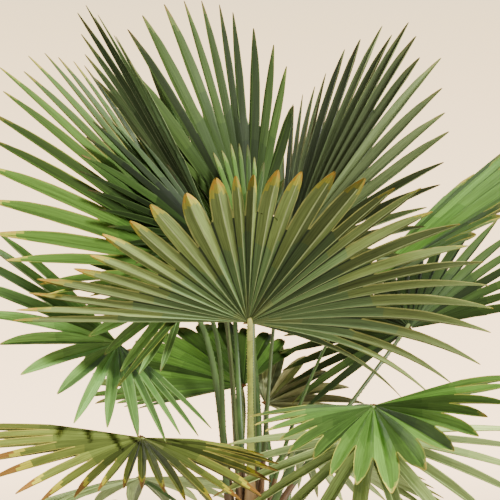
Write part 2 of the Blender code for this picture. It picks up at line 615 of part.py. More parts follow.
def petiole_mesh(leaf):
    """A tapering petiole whose foot follows the trunk's surface, a gap away from it."""
    line, point = petiole_line(leaf)
    _, side, _ = leaf_frame(leaf)
    places = np.linspace(0, 1, PETIOLE_STATIONS)
    centres = [bezier(line, t) for t in places]
    ahead = [unit(bezier(line, min(t + 0.01, 1)) - bezier(line, max(t - 0.01, 0))) for t in places]
    points = []
    across = side
    for t, at, way in zip(places, centres, ahead):
        across = unit(across - way * np.dot(across, way))
        upward = np.cross(way, across)
        if t < 0.5:
            radius = PETIOLE_BASE + (PETIOLE_MIDDLE - PETIOLE_BASE) * t / 0.5
        else:
            radius = PETIOLE_MIDDLE + (PETIOLE_TIP - PETIOLE_MIDDLE) * (t - 0.5) / 0.5
        radius *= leaf.get("stout", 1.0)
        for k in range(PETIOLE_SIDES):
            turn = 2 * math.pi * (k + 0.5) / PETIOLE_SIDES
            flat = 0.80
            points.append(at + radius * (math.cos(turn) * across + flat * math.sin(turn) * upward))
    way = ahead[0]
    foot = []
    for p in [*points[:PETIOLE_SIDES], centres[0]]:
        near, far = 0.0, 0.09
        for _ in range(40):
            mid = 0.5 * (near + far)
            if outside_trunk(p + way * mid) > GAP * 1.3:
                far = mid
            else:
                near = mid
        foot.append(p + way * far)
    points[:PETIOLE_SIDES] = foot[:-1]
    faces = []
    for row in range(PETIOLE_STATIONS - 1):
        for k in range(PETIOLE_SIDES):
            j = (k + 1) % PETIOLE_SIDES
            a, b = row * PETIOLE_SIDES, (row + 1) * PETIOLE_SIDES
            faces.append([a + k, a + j, b + j, b + k])
    low = len(points)
    points += [foot[-1], point]
    last = (PETIOLE_STATIONS - 1) * PETIOLE_SIDES
    for k in range(PETIOLE_SIDES):
        j = (k + 1) % PETIOLE_SIDES
        faces.append([k, j, low])
        faces.append([last + k, last + j, low + 1])
    return points, faces


def main():
    clear_scene()
    inner_floor, inner_top = build_pot()
    build_soil(inner_floor, inner_top)
    build_trunk()
    room = Room()
    fans = [Fan(leaf, n + 1) for n, leaf in enumerate(LEAVES)]
    for leaf in LEAVES:
        points, faces = petiole_mesh(leaf)
        room.add(points, faces)
        add_mesh(leaf["name"] + "_petiole", "petiole", points, faces)
    for fan in fans:
        room.add(*closed_joined(fan))
    give_room(fans, room)
    for fan in fans:
        build_blade(fan)


main()
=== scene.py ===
"""Looks of the potted windmill palm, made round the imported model.

Metres, Z up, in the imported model's frame. The photo looks along +Y. A blade follows the rule of
its solid: ribs that start at a hub, spread by the row's angles and sink by its droops, joined near
the hub and free further out. Here each segment is a thin folded strip with a raised rib, a notched
tip and its own tints, and it stays where its solid is.
"""

import math

import bpy
import numpy as np
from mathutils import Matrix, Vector
from mathutils.bvhtree import BVHTree


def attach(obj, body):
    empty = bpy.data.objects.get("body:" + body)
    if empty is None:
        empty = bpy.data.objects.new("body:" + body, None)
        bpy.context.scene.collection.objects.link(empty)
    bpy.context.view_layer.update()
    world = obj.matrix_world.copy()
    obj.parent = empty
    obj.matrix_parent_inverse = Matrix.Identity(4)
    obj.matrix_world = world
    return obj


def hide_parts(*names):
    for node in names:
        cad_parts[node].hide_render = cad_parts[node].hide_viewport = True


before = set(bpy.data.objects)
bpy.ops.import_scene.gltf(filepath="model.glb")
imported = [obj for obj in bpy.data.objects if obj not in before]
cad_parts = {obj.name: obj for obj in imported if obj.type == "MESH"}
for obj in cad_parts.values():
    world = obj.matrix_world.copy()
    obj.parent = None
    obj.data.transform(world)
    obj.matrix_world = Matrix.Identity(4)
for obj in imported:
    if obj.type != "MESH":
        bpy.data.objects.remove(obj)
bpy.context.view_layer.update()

# Sizes of the solids, as in the part's source
GAP = 0.0003
CLEAR = 0.0008
SOIL_TOP = 0.290
TRUNK_TOP = 0.770
TRUNK_SHOULDER = 0.700
TRUNK_RADIUS = 0.047
TRUNK_FLARE = 0.016
HUB_HOLE = 0.014
THICK = 0.0046
PLEAT = 0.0042
PLEAT_SHARE = 0.30
STEPS = 12
MOST_STEPS = 16
PETIOLE_SIDES = 8
PETIOLE_STATIONS = 7
PETIOLE_BASE = 0.0075
PETIOLE_MIDDLE = 0.0044
PETIOLE_TIP = 0.0040
PETIOLE_FLAT = 0.80

# Sizes that only the looks have
LEAF_THICK = 0.0008
RIB_RAISE = 0.0009
INNER_RING = 0.0045
JOINED_ROWS = 9
FREE_ROWS = 15
PLACES = np.array([-1.0, -0.88, -0.5, -0.08, 0.08, 0.5, 0.88, 1.0])
RIB_STRIP = 3
ZONES = ("hub", "body", "outer", "turning", "tip")
SHADES = (0.72, 1.0, 1.24)
LOW_TONES = len(ZONES) * len(SHADES)
# the last of these is the slot of the painted shade along the lower face's folds
RIB_TOP, RIB_LOW, EDGE_TONE, PAINTED_FOLD_SHADE_TONE = (2 * LOW_TONES + k for k in range(4))
HUB_TONE = 1
TIP_TONE = (len(ZONES) - 1) * len(SHADES) + 1
HUB_ZONE_ENDS = 0.12
BODY_ZONE_ENDS = 0.52
FOLD_SHARE = 0.85
FOLD_MOST = 0.0100
NOTCH = 0.006
# painted shade: how much darker the lower face is drawn along its folds near the hub
FOLD_PAINTED_SHADE = 0.48
MARGIN_EARLY = 0.085
LIGULE_ACROSS = 11
LIGULE_UP = 6
VEIN_LAYER = "veins"
VEINS_ACROSS = 8.0
VEINS_ALONG = 5.0
VEINS_APART = 3.7
VEINS_UNDER = 150.0

# One row a leaf, as in the part's source, with the tints that the looks take for it and, where
# tips differ over the fan, how much sooner they turn
LEAVES = [
    dict(name="leaf_01", hub=(-0.004, -0.23, 1.086), az=16.5, el=43.0, roll=1.2, reach=0.426, cup=-0.18,
         angles=(74.9, 67.5, 57.3, 46.4, 33.4, 17.8, 9.6, -3.9, -20.8, -30.3, -44.2, -55.5, -70.6,
                  -87.7, -99.9),
         lengths=(1.019, 1.051, 0.94, 0.947, 0.941, 0.949, 0.834, 0.893, 0.943, 0.925, 0.969, 0.914,
                  1.01, 0.879, 0.771), droops=(0.025, -0.009, 0.051, 0.099, 0.338, 0.847), count=30,
         split=(0.56, 0.56, 0.57, 0.59, 0.61, 0.74, 0.76, 0.62, 0.61, 0.59, 0.56, 0.53, 0.5, 0.43, 0.36),
         taper=((0.94, 0.94, 0.94, 0.9, 0.7), (0.66, 0.66, 0.66, 0.5, 0.3)), base=(0, 0.745), lean=12,
         stout=1.15, arrive=(1, 64), tint="front", sere=(0.01, 0.01, 0.0, -0.06, -0.1)),
    dict(name="leaf_02", hub=(0.0, 0.1, 1.225), az=220.5, el=74.5, roll=7.5, reach=0.479, cup=-0.027,
         angles=(-48.4, -36.4, -28.1, -21.7, -12.7, -6.4, -0.8, 4.6, 8.8, 16.6, 23.2, 28.6, 35.4, 45.8),
         lengths=(0.461, 0.874, 0.905, 0.996, 1.003, 1.012, 1.016, 1.034, 0.978, 1.003, 0.905, 0.91,
                  0.769, 0.397), droops=(0.127, 0.113, 0.118), count=14, split=0.5, taper=(0.95, 0.58),
         base=(170, 0.752), lean=5, tint="dark"),
    dict(name="leaf_03", hub=(0.062, 0.12, 1.184), az=91.7, el=64.6, roll=22.2, reach=0.484, cup=-0.067,
         angles=(-59.0, -47.9, -40.4, -30.6, -14.7, -1.7, 8.1, 20.2, 34.4, 47.8, 58.0, 67.1, 82.6),
         lengths=(0.876, 0.889, 0.97, 0.899, 1.063, 1.005, 1.018, 1.044, 0.954, 0.969, 0.941, 0.889,
                  0.855, 0.829, 0.757), droops=(0.139, 0.123, 0.124), count=23,
         split=(0.46, 0.54, 0.64, 0.52, 0.46), taper=(0.9, 0.5), base=(110, 0.752), lean=6,
         tint="dusky"),
    dict(name="leaf_04", hub=(-0.06, -0.1, 1.166), az=-37.5, el=7.5, roll=-56.6, reach=0.507, cup=0.135,
         angles=(63.2, 57.0, 50.4, 41.8, 33.4, 22.0, 11.7, 0.4, -9.0, -13.4, -18.0, -24.4, -32.2),
         lengths=(0.859, 0.9, 0.952, 1.001, 1.002, 1.05, 1.059, 1.025, 0.979, 0.968, 0.95, 0.892, 0.822),
         droops=(0.125, 0.109, 0.132), count=22, split=(0.54, 0.54, 0.52, 0.46, 0.42),
         taper=(0.93, 0.58), base=(-65, 0.75), lean=6, tint="verdant"),
    dict(name="leaf_05", hub=(-0.066, 0.05, 1.239), az=-100.1, el=54.5, roll=17.5, reach=0.468,
         cup=0.06, angles=(-47.0, -40.7, -27.0, 0.0, 30.0), lengths=(0.82, 0.99, 1.05, 0.88, 0.66),
         droops=(0.18, 0.05, 0.15), count=13, split=0.48, taper=(0.88, 0.5), base=(-110, 0.752), lean=5,
         tint="pale"),
    dict(name="leaf_06", hub=(-0.229, -0.12, 1.045), az=-6.1, el=-19.9, roll=-28.5, reach=0.327,
         cup=0.236, angles=(104.2, 51.6, 12.2, -20.0, -42.0), lengths=(0.9, 1.01, 0.94, 0.96, 0.9),
         droops=(0.12, 0.11, 0.11), count=15, split=0.44, taper=(0.88, 0.56), base=(-100, 0.69), lean=5,
         arrive=(-60, -40), arch=(0.95, 0.55), tint="glossy"),
    dict(name="leaf_07", hub=(0.201, -0.3, 0.952), az=2.2, el=-15.2, roll=7.8, reach=0.298, cup=0.311,
         angles=(60.5, 34.1, 5.7, -30.3, -63.0), lengths=(0.77, 0.91, 1.1, 0.96, 0.87),
         droops=(0.11, 0.14, 0.1), count=16, split=(0.58, 0.66, 0.7, 0.68, 0.62), taper=(0.86, 0.52),
         base=(40, 0.69), lean=16, arrive=(24, -8), tint="bright"),
    dict(name="leaf_08", hub=(-0.178, -0.28, 0.898), az=-19.6, el=-6.4, roll=-11.2, reach=0.371,
         cup=0.104, angles=(45.7, 7.3, -20.0, -48.4, -98.4),
         lengths=(0.92, 0.98, 1.01, 0.9, 0.74, 0.86, 0.95, 0.75, 0.55), droops=(0.13, 0.1, 0.13),
         count=20, split=0.48, taper=(0.94, 0.6), base=(-30, 0.68), lean=45, tint="olive",
         sere=(0.03, 0.13, 0.12, 0.02, 0.04, 0.02, 0.03)),
    dict(name="leaf_09", hub=(0.182, 0.03, 1.115), az=63.0, el=32.7, roll=22.3, reach=0.462, cup=0.134,
         angles=(-42.2, -29.4, -5.1, 17.8, 34.1), lengths=(0.79, 1.06, 1.05, 0.88, 0.9),
         droops=(0.16, 0.1, 0.14), count=9, split=0.78, taper=(0.9, 0.55), base=(66, 0.728), lean=14,
         tint="bright"),
    dict(name="leaf_10", hub=(0.3, 0.14, 1.059), az=141.0, el=45.0, roll=0.0, reach=0.3, cup=0.0,
         angles=(72.0, 20.0, -35.0, -90.0, -145.0), lengths=(0.98, 1.0, 0.98, 0.95, 0.85),
         droops=(0.1, 0.1, 0.15), count=22, split=0.5, taper=(0.86, 0.5), base=(105, 0.718), lean=35,
         arrive=(158, 22), tint="dark"),
    dict(name="leaf_11", hub=(0.202, -0.22, 0.897), az=-8.0, el=-27.0, roll=4.4, reach=0.32, cup=-0.1,
         angles=(100.8, 45.8, -6.9, -56.3, -100.5), lengths=(0.8, 0.9, 1.0, 0.96, 0.87),
         droops=(0.11, 0.13, 0.13), count=14, split=0.3, taper=(0.94, 0.6), base=(28, 0.665), lean=45,
         tint="straw"),
    dict(name="leaf_12", hub=(-0.013, 0.22, 0.945), az=-122.0, el=15.9, roll=-23.1, reach=0.317,
         cup=-0.048, angles=(86.4, 43.9, 0.0, -36.0, -52.0), lengths=(0.66, 0.91, 0.88, 0.97, 0.67),
         droops=(0.12, 0.12, 0.11), count=18, split=(0.7, 0.78, 0.8, 0.8, 0.6), taper=(0.9, 0.6),
         base=(-160, 0.69), lean=30, tint="shade"),
    dict(name="leaf_13", hub=(0.03, 0.29, 0.905), az=145.9, el=7.9, roll=34.1, reach=0.3, cup=0.054,
         angles=(-58.7, -31.0, -2.0, 29.6, 60.5), lengths=(0.6, 0.92, 0.98, 0.85, 0.6),
         droops=(0.1, 0.15, 0.11), count=12, split=0.5, taper=(0.9, 0.55), base=(150, 0.68), lean=40,
         tint="soft"),
    dict(name="leaf_14", hub=(0.093, 0.1, 0.853), az=140.0, el=-25.0, roll=0.0, reach=0.33, cup=-0.1,
         angles=(84.0, 44.0, 4.0, -26.0, -50.0), lengths=(0.8, 0.95, 1.0, 0.95, 0.8),
         droops=(0.2, 0.15, 0.2), count=14, split=0.45, taper=(0.85, 0.45), base=(122, 0.655), lean=40,
         tint="straw"),
    dict(name="leaf_15", hub=(0.0, 0.34, 1.1), az=178.0, el=8.0, roll=0.0, reach=0.37, cup=-0.05,
         angles=(100.0, 50.0, 0.0, -50.0, -100.0), lengths=(0.75, 0.95, 1.0, 0.95, 0.75),
         droops=(0.1, 0.15, 0.1), count=20, split=0.5, taper=(0.9, 0.55), base=(165, 0.715), lean=20,
         tint="bright"),
    dict(name="leaf_16", hub=(-0.21, 0.21, 0.77), az=-140.0, el=-12.0, roll=0.0, reach=0.37, cup=-0.12,
         angles=(95.0, 48.0, 0.0, -48.0, -95.0), lengths=(0.75, 0.95, 1.0, 0.95, 0.75),
         droops=(0.25, 0.2, 0.25), count=16, split=0.45, taper=(0.88, 0.5), base=(-135, 0.65), lean=60,
         tint="straw"),
    dict(name="leaf_17", hub=(0.27, 0.06, 0.745), az=80.0, el=-14.0, roll=0.0, reach=0.35, cup=-0.12,
         angles=(90.0, 45.0, 0.0, -45.0, -90.0), lengths=(0.75, 0.95, 1.0, 0.95, 0.75),
         droops=(0.25, 0.2, 0.25), count=16, split=0.45, taper=(0.88, 0.5), base=(78, 0.64), lean=65,
         tint="olive"),
    dict(name="leaf_18", hub=(-0.27, 0.02, 0.745), az=-92.0, el=-14.0, roll=0.0, reach=0.35, cup=-0.12,
         angles=(90.0, 45.0, 0.0, -45.0, -90.0), lengths=(0.75, 0.95, 1.0, 0.95, 0.75),
         droops=(0.25, 0.2, 0.25), count=16, split=0.45, taper=(0.88, 0.5), base=(-88, 0.645), lean=65,
         tint="bright"),
    dict(name="leaf_19", hub=(-0.003, 0.0, 1.188), az=222.0, el=80.0, roll=0.0, reach=0.216, cup=0.0,
         angles=(-14.0, -5.0, 3.0, 11.0, 19.0), lengths=(0.92, 1.0, 1.0, 0.98, 0.9),
         droops=(0.02, 0.02, 0.02), count=7, split=0.55, taper=(0.95, 0.86), base=(60, 0.769), lean=2,
         tint="young"),
    dict(name="leaf_20", hub=(-0.067, -0.13, 1.218), az=-49.4, el=26.9, roll=-52.5, reach=0.313,
         cup=0.018, angles=(58.0, 27.0, 0.3, -19.7, -38.6), lengths=(0.55, 0.97, 0.97, 0.97, 0.87),
         droops=(0.12, 0.12, 0.12), count=12, split=0.42, taper=(0.88, 0.5), base=(-38, 0.725), lean=6,
         tint="deep"),
    dict(name="leaf_21", hub=(-0.107, -0.17, 1.138), az=-60.0, el=-32.0, roll=-62.0, reach=0.195,
         cup=0.0, angles=(70.0, 40.0, 12.0, -12.0, -33.0), lengths=(0.86, 0.95, 1.0, 0.97, 0.84),
         droops=(0.1, 0.1, 0.1), count=9, split=0.48, taper=(0.96, 0.62), base=(-62, 0.69), lean=14,
         arrive=(-60, 10), tint="glossy"),
    dict(name="leaf_22", hub=(-0.045, 0.17, 1.229), az=-100.0, el=60.0, roll=90.0, reach=0.4, cup=0.0,
         angles=(-26.0, -6.0, 4.0, 11.0, 17.0), lengths=(0.46, 0.95, 1.0, 0.92, 0.82),
         droops=(0.05, 0.05, 0.05), count=9, split=0.5, taper=(0.86, 0.45), base=(-150, 0.735), lean=5,
         tint="murky"),
]

# Tints of a blade from its hub to its tips, for the upper face and then the lower one, the line
# along each rib, the margins of its segments, and the shares of the length at which the last two
# tints begin. Colours are screen values from 0 to 255.
TINTS = {
    "front": dict(
        top=((98, 110, 62), (88, 105, 58), (98, 112, 59), (132, 130, 56), (146, 116, 46)),
        low=((98, 110, 68), (84, 103, 66), (95, 108, 62), (130, 128, 52), (150, 119, 41)),
        rib=(136, 147, 100), edge=(132, 134, 77), turns=(0.93, 0.985), rough=0.52),
    "dark": dict(
        top=((45, 57, 31), (44, 59, 28), (51, 67, 31), (75, 87, 43), (98, 87, 47)),
        low=((53, 65, 35), (49, 65, 33), (55, 73, 39), (77, 91, 47), (102, 92, 53)),
        rib=(71, 89, 47), edge=(71, 89, 45), turns=(0.93, 0.985), rough=0.48),
    "dusky": dict(
        top=((102, 115, 78), (99, 113, 76), (104, 119, 80), (114, 125, 80), (122, 117, 74)),
        low=((106, 119, 84), (102, 117, 82), (108, 123, 86), (116, 127, 84), (124, 119, 76)),
        rib=(114, 129, 88), edge=(106, 121, 78), turns=(0.93, 0.985), rough=0.52),
    "bright": dict(
        top=((80, 109, 50), (74, 107, 43), (85, 118, 50), (135, 148, 65), (175, 157, 69)),
        low=((89, 113, 65), (83, 111, 61), (91, 120, 65), (137, 148, 76), (175, 157, 76)),
        rib=(122, 153, 85), edge=(146, 152, 64), turns=(0.955, 0.992), rough=0.44, gloss=0.2),
    "verdant": dict(
        top=((59, 81, 35), (54, 80, 30), (63, 88, 35), (118, 122, 44), (138, 120, 46)),
        low=((66, 85, 47), (61, 83, 44), (68, 90, 47), (104, 112, 56), (132, 119, 56)),
        rib=(92, 115, 63), edge=(122, 126, 52), turns=(0.955, 0.992), rough=0.44, gloss=0.2),
    "pale": dict(
        top=((54, 69, 43), (52, 69, 43), (69, 89, 57), (109, 124, 74), (133, 124, 76)),
        low=((69, 85, 57), (67, 85, 57), (80, 100, 67), (111, 124, 78), (133, 124, 78)),
        rib=(109, 126, 89), edge=(124, 140, 98), turns=(0.92, 0.98), rough=0.6, gloss=0.05),
    "glossy": dict(
        top=((109, 146, 80), (96, 135, 67), (109, 148, 74), (137, 164, 83), (151, 144, 80)),
        low=((115, 148, 89), (105, 140, 80), (115, 151, 87), (140, 162, 87), (153, 146, 85)),
        rib=(140, 173, 102), edge=(131, 162, 94), turns=(0.965, 0.995), rough=0.36, gloss=0.3),
    "olive": dict(
        top=((96, 102, 52), (78, 88, 40), (92, 100, 44), (160, 152, 46), (122, 88, 42)),
        low=((106, 110, 66), (92, 100, 54), (104, 110, 60), (150, 144, 58), (124, 92, 50)),
        rib=(142, 146, 86), edge=(150, 142, 62), turns=(0.90, 0.975), rough=0.56,
        ragged=0.035, gloss=0.04),
    "straw": dict(
        top=((145, 161, 102), (137, 157, 93), (147, 166, 97), (169, 179, 102), (163, 129, 78)),
        low=((149, 166, 110), (143, 161, 104), (151, 170, 108), (169, 179, 110), (163, 131, 82)),
        rib=(169, 185, 128), edge=(163, 179, 108), turns=(0.91, 0.975), rough=0.48),
    "shade": dict(
        top=((68, 90, 38), (60, 86, 34), (68, 96, 38), (90, 106, 50), (116, 102, 58)),
        low=((70, 84, 44), (62, 80, 38), (70, 88, 42), (90, 102, 52), (118, 104, 60)),
        rib=(98, 118, 60), edge=(100, 118, 60), turns=(0.92, 0.98), rough=0.46),
    # soft: much paler than the leaf's own green, painted light for a leaf that lies in shade behind the
    # crown
    "soft": dict(
        top=((179, 187, 141), (175, 185, 139), (183, 192, 143), (190, 192, 143), (181, 160, 117)),
        low=((183, 190, 147), (179, 187, 145), (185, 194, 149), (190, 192, 147), (181, 162, 122)),
        rib=(198, 204, 162), edge=(192, 200, 151), turns=(0.92, 0.98), rough=0.55),
    "young": dict(
        top=((51, 70, 30), (52, 77, 31), (71, 99, 45), (96, 115, 58), (106, 108, 61)),
        low=((58, 75, 38), (59, 80, 40), (75, 101, 51), (96, 113, 59), (106, 108, 63)),
        rib=(89, 112, 63), edge=(89, 110, 61), turns=(0.90, 0.975), rough=0.46),
    # deep: the leaf's green darkened to near black, painted shade for fingers that lie in the crown's
    # shade
    "deep": dict(
        top=((30, 42, 18), (28, 42, 16), (40, 58, 24), (60, 72, 34), (88, 70, 42)),
        low=((34, 46, 22), (32, 46, 22), (44, 62, 30), (62, 74, 38), (90, 74, 46)),
        rib=(56, 74, 38), edge=(58, 76, 38), turns=(0.93, 0.985), rough=0.46),
    "murky": dict(
        top=((91, 119, 62), (88, 119, 60), (99, 130, 68), (119, 142, 77), (142, 125, 79)),
        low=((94, 122, 68), (91, 122, 65), (102, 133, 74), (122, 144, 82), (144, 127, 82)),
        rib=(125, 156, 91), edge=(125, 156, 88), turns=(0.93, 0.985), rough=0.5),
}

# The sine of the height above the horizon, and the light's colour there
WORLD_STRENGTH = 6.0
WORLD_BANDS = (
    (-1.0, (0.30, 0.30, 0.28)),
    (-0.42, (0.30, 0.30, 0.28)),
    (-0.34, (2.0, 1.6, 1.05)),
    (-0.16, (3.0, 2.3, 1.4)),
    (-0.12, (5.0, 3.5, 2.05)),
    (0.125, (2.75, 2.06, 1.16)),
    (0.14, (2.6, 1.98, 1.16)),
    (0.18, (0.12, 0.13, 0.15)),
    (1.0, (0.12, 0.13, 0.15)),
)
# How bright the backdrop is away from the side that the photo looks at, and where it starts to fall
WORLD_ASIDE = 0.30
WORLD_FALL = (0.80, 0.975)
FLOOR_RADIUS = 2.6
LIGHTS = (
    ("key", (2.2, -2.7, 3.3), 0.7, 375.0, (1.0, 0.99, 0.95)),
    ("front", (0.5, -3.3, 0.7), 1.2, 44.0, (1.0, 0.99, 0.96)),
    ("fill", (-2.8, -1.4, 2.2), 2.2, 9.0, (0.92, 0.97, 1.0)),
    ("top", (-0.3, 0.6, 3.6), 1.6, 30.0, (0.97, 1.0, 1.0)),
    ("back", (-1.6, 2.9, 2.4), 1.6, 34.0, (1.0, 0.98, 0.94)),
)

CAMERA_BACK = 3.2
CAMERA_HEIGHT = 1.206
CAMERA_LENS = 128.0


def linear(colour):
    """A screen colour of 0 to 255 as linear light, with full alpha."""
    shares = [c / 255 for c in colour]
    return (*(c / 12.92 if c <= 0.04045 else ((c + 0.055) / 1.055) ** 2.4 for c in shares), 1.0)


def unit(v):
    """A vector, or rows of them, made one long."""
    return v / np.linalg.norm(v, axis=-1, keepdims=True)


def wobble(seed, k):
    """A repeatable value from -1 to 1."""
    value = math.sin(seed * 12.9898 + k * 78.233) * 43758.5453
    return 2 * (value - math.floor(value)) - 1


def ring_faces(rings, sides, base=0):
    """The faces between rings of points that follow each other from the point numbered base."""
    faces = []
    for row in range(rings - 1):
        for k in range(sides):
            j = (k + 1) % sides
            a, b = base + row * sides, base + (row + 1) * sides
            faces.append([a + k, a + j, b + j, b + k])
    return faces


# The rule of the solids


def trunk_radius(z):
    """The trunk's radius at a height: a flare at the soil, a slow taper, and a domed top."""
    foot = TRUNK_FLARE * math.exp(-(z - SOIL_TOP) / 0.05)
    plain = TRUNK_RADIUS + foot + 0.004 * math.sin(9.0 * (z - SOIL_TOP))
    if z <= TRUNK_SHOULDER:
        return plain
    share = min((z - TRUNK_SHOULDER) / (TRUNK_TOP - TRUNK_SHOULDER), 1.0)
    return plain * math.sqrt(max(1 - share * share, 0.0))


def trunk_axis(z):
    """The trunk's slight lean, as the x and y of its middle at a height."""
    rise = (z - SOIL_TOP) / (TRUNK_TOP - SOIL_TOP)
    return 0.006 * math.sin(math.pi * rise), -0.004 * math.sin(math.pi * rise)


def outside_trunk(p):
    """How far a point stands outside the trunk, roughly, in metres."""
    z = min(max(p[2], SOIL_TOP), TRUNK_TOP - 1e-6)
    cx, cy = trunk_axis(z)
    level = math.hypot(p[0] - cx, p[1] - cy) - trunk_radius(z)
    step = 1e-4
    slope = (trunk_radius(z) - trunk_radius(max(z - step, SOIL_TOP))) / step
    near = level / math.sqrt(1 + slope * slope)
    return max(near, p[2] - TRUNK_TOP)


def leaf_frame(leaf):
    """The middle rib, the way to its side and the upper face of a blade, as unit vectors."""
    az, el, roll = np.radians([leaf["az"], leaf["el"], leaf["roll"]])
    level = np.array([math.sin(az), -math.cos(az), 0.0])
    up = np.array([0.0, 0.0, 1.0])
    rib = math.cos(el) * level + math.sin(el) * up
    face = -math.sin(el) * level + math.cos(el) * up
    side = np.cross(rib, face)
    face = math.cos(roll) * face + math.sin(roll) * side
    return rib, np.cross(rib, face), face


def spread(values, x):
    """A property across the fan: evenly spaced values joined by lines and carried on past the ends."""
    values = np.asarray(values, float)
    knots = np.linspace(-1, 1, len(values))
    found = np.interp(x, knots, values)
    gap = knots[1] - knots[0]
    found = np.where(x > 1, values[-1] + (values[-1] - values[-2]) / gap * (x - 1), found)
    return np.where(x < -1, values[0] + (values[1] - values[0]) / gap * (x + 1), found)


def level_out(values, x):
    """One value for the whole fan, or evenly spaced values joined by lines."""
    values = np.atleast_1d(np.asarray(values, float))
    return np.interp(x, np.linspace(-1, 1, len(values)), values)


def rib_paths(leaf, x):
    """Rib points for places x across the fan, -1 to 1, each twelfth of the rib's own length."""
    x = np.asarray(x, float)
    rib, side, face = leaf_frame(leaf)
    turn = np.radians(spread(leaf["angles"], x))
    lean = leaf["cup"] * np.abs(np.sin(turn))
    way = np.cos(turn)[:, None] * rib + np.sin(turn)[:, None] * side + lean[:, None] * face
    way /= np.linalg.norm(way, axis=1)[:, None]
    length = leaf["reach"] * level_out(leaf["lengths"], x)
    droop = level_out(leaf["droops"], x)
    at = np.tile(np.array(leaf["hub"], float), (len(x), 1))
    path = [at]
    for k in range(MOST_STEPS):
        share = (k + 0.5) / STEPS
        step = way - np.array([0.0, 0.0, 1.0]) * (droop * share * share)[:, None]
        step /= np.linalg.norm(step, axis=1)[:, None]
        at = at + step * (length / STEPS)[:, None]
        path.append(at)
    return np.stack(path, 1), length


def along(paths, share):
    """The point of each path at its share of the rib's length."""
    place = np.clip(np.broadcast_to(share, len(paths)) * STEPS, 0, MOST_STEPS - 1e-6)
    low = np.floor(place).astype(int)
    part = (place - low)[:, None]
    rows = np.arange(len(paths))
    return paths[rows, low] * (1 - part) + paths[rows, low + 1] * part


class Fan:
    """The places of one blade's ribs, folds and segments."""

    def __init__(self, leaf, seed):
        self.leaf = leaf
        self.seed = seed
        self.count = leaf["count"]
        half = 1.0 / (self.count - 1)
        self.rib_x = np.linspace(-1, 1, self.count)
        self.fold_x = np.linspace(-1 - half, 1 + half, self.count + 1)
        self.turn = math.copysign(1.0, leaf["angles"][-1] - leaf["angles"][0])
        self.ribs, self.rib_length = rib_paths(leaf, self.rib_x)
        self.folds, self.fold_length = rib_paths(leaf, self.fold_x)
        near = 0.02
        self.rib_sides = [rib_paths(leaf, self.rib_x + side * near)[0] for side in (-1, 1)]
        self.fold_sides = [rib_paths(leaf, self.fold_x + side * near)[0] for side in (-1, 1)]
        uneven = np.array([1 + 0.07 * wobble(seed, j) for j in range(self.count + 1)])
        self.split = level_out(leaf["split"], self.fold_x) * uneven
        self.ends = np.array([1 + 0.045 * wobble(seed + 0.5, i) for i in range(self.count)])
        self.lift = np.zeros(self.count)

    def local(self, paths, sides, share):
        """Points, sideways ways and upper-face ways at a share of the length."""
        at = along(paths, share)
        across = unit(along(sides[1], share) - along(sides[0], share))
        ahead = unit(along(paths, np.asarray(share) + 0.04) - along(paths, np.asarray(share) - 0.04))
        face = unit(np.cross(across, ahead)) * self.turn
        return at, across, face

    def half_width(self, share):
        """Half the distance between neighbouring folds at a share of the rib's length."""
        edge = along(self.folds, share)
        return 0.5 * np.linalg.norm(edge[1:] - edge[:-1], axis=1)

    def joined_row(self, rib_share, fold_share):
        """Top and bottom points of the folds and ribs for one row of the joined part."""
        edge_at, _, edge_face = self.local(self.folds, self.fold_sides, fold_share)
        rib_at, _, rib_face = self.local(self.ribs, self.rib_sides, rib_share)
        wide = self.half_width(np.mean(fold_share))
        depth = np.minimum(PLEAT_SHARE * wide, PLEAT)
        edge_depth = np.minimum(PLEAT_SHARE * np.interp(self.fold_x, self.rib_x, wide), PLEAT)
        half = THICK / 2
        return (
            edge_at + edge_face * (edge_depth / 2 + half)[:, None],
            edge_at + edge_face * (edge_depth / 2 - half)[:, None],
            rib_at + rib_face * (-depth / 2 + half)[:, None],
            rib_at + rib_face * (-depth / 2 - half)[:, None],
        )

    def segment_rows(self, i, end, lift, spare=0.0):
        """Left, right and keel points of a free segment's two rows, and its tip."""
        start = 0.5 * (self.split[i] + self.split[i + 1])
        full = self.half_width(start)[i]
        paths = self.ribs[i:i + 1]
        sides = [s[i:i + 1] for s in self.rib_sides]
        rows = []
        for place, taper in zip((0.45, 0.82), self.leaf["taper"]):
            share = start + (end - start) * place
            at, across, face = (v[0] for v in self.local(paths, sides, share))
            at = at + face * lift * place * (end - start) * self.rib_length[i]
            narrow = level_out(taper, self.rib_x[i])
            wide = full * narrow + spare
            deep = min(PLEAT_SHARE * full * narrow, PLEAT) / 2
            above = face * (deep + spare)
            below = face * (deep + THICK / 2 + spare)
            rows.append((at - across * wide + above, at + across * wide + above, at - below))
        at, across, face = (v[0] for v in self.local(paths, sides, end))
        tip = at + face * lift * (end - start) * self.rib_length[i]
        return rows, tip

    def start_points(self):
        """The outer row of the joined part, where the segments start."""
        return self.joined_row(0.5 * (self.split[1:] + self.split[:-1]), self.split)


def segment_mesh(fan, i, end, lift, row):
    """The free segment alone, as a closed shape a little bigger than it is, for the room check."""
    edge_top, _, _, rib_low = row
    rows, tip = fan.segment_rows(i, end, lift, CLEAR)
    near = 0.25
    starts = (edge_top[i], edge_top[i + 1], rib_low[i])
    first = [start * (1 - near) + later * near for start, later in zip(starts, rows[0])]
    points = [*first, *rows[0], *rows[1], tip]
    faces = [(0, 2, 1), (0, 1, 4), (0, 4, 3), (0, 3, 5), (0, 5, 2), (1, 2, 5), (1, 5, 4),
             (3, 4, 7), (3, 7, 6), (3, 6, 8), (3, 8, 5), (4, 5, 8), (4, 8, 7),
             (6, 7, 9), (6, 9, 8), (7, 8, 9)]
    return np.array(points), faces


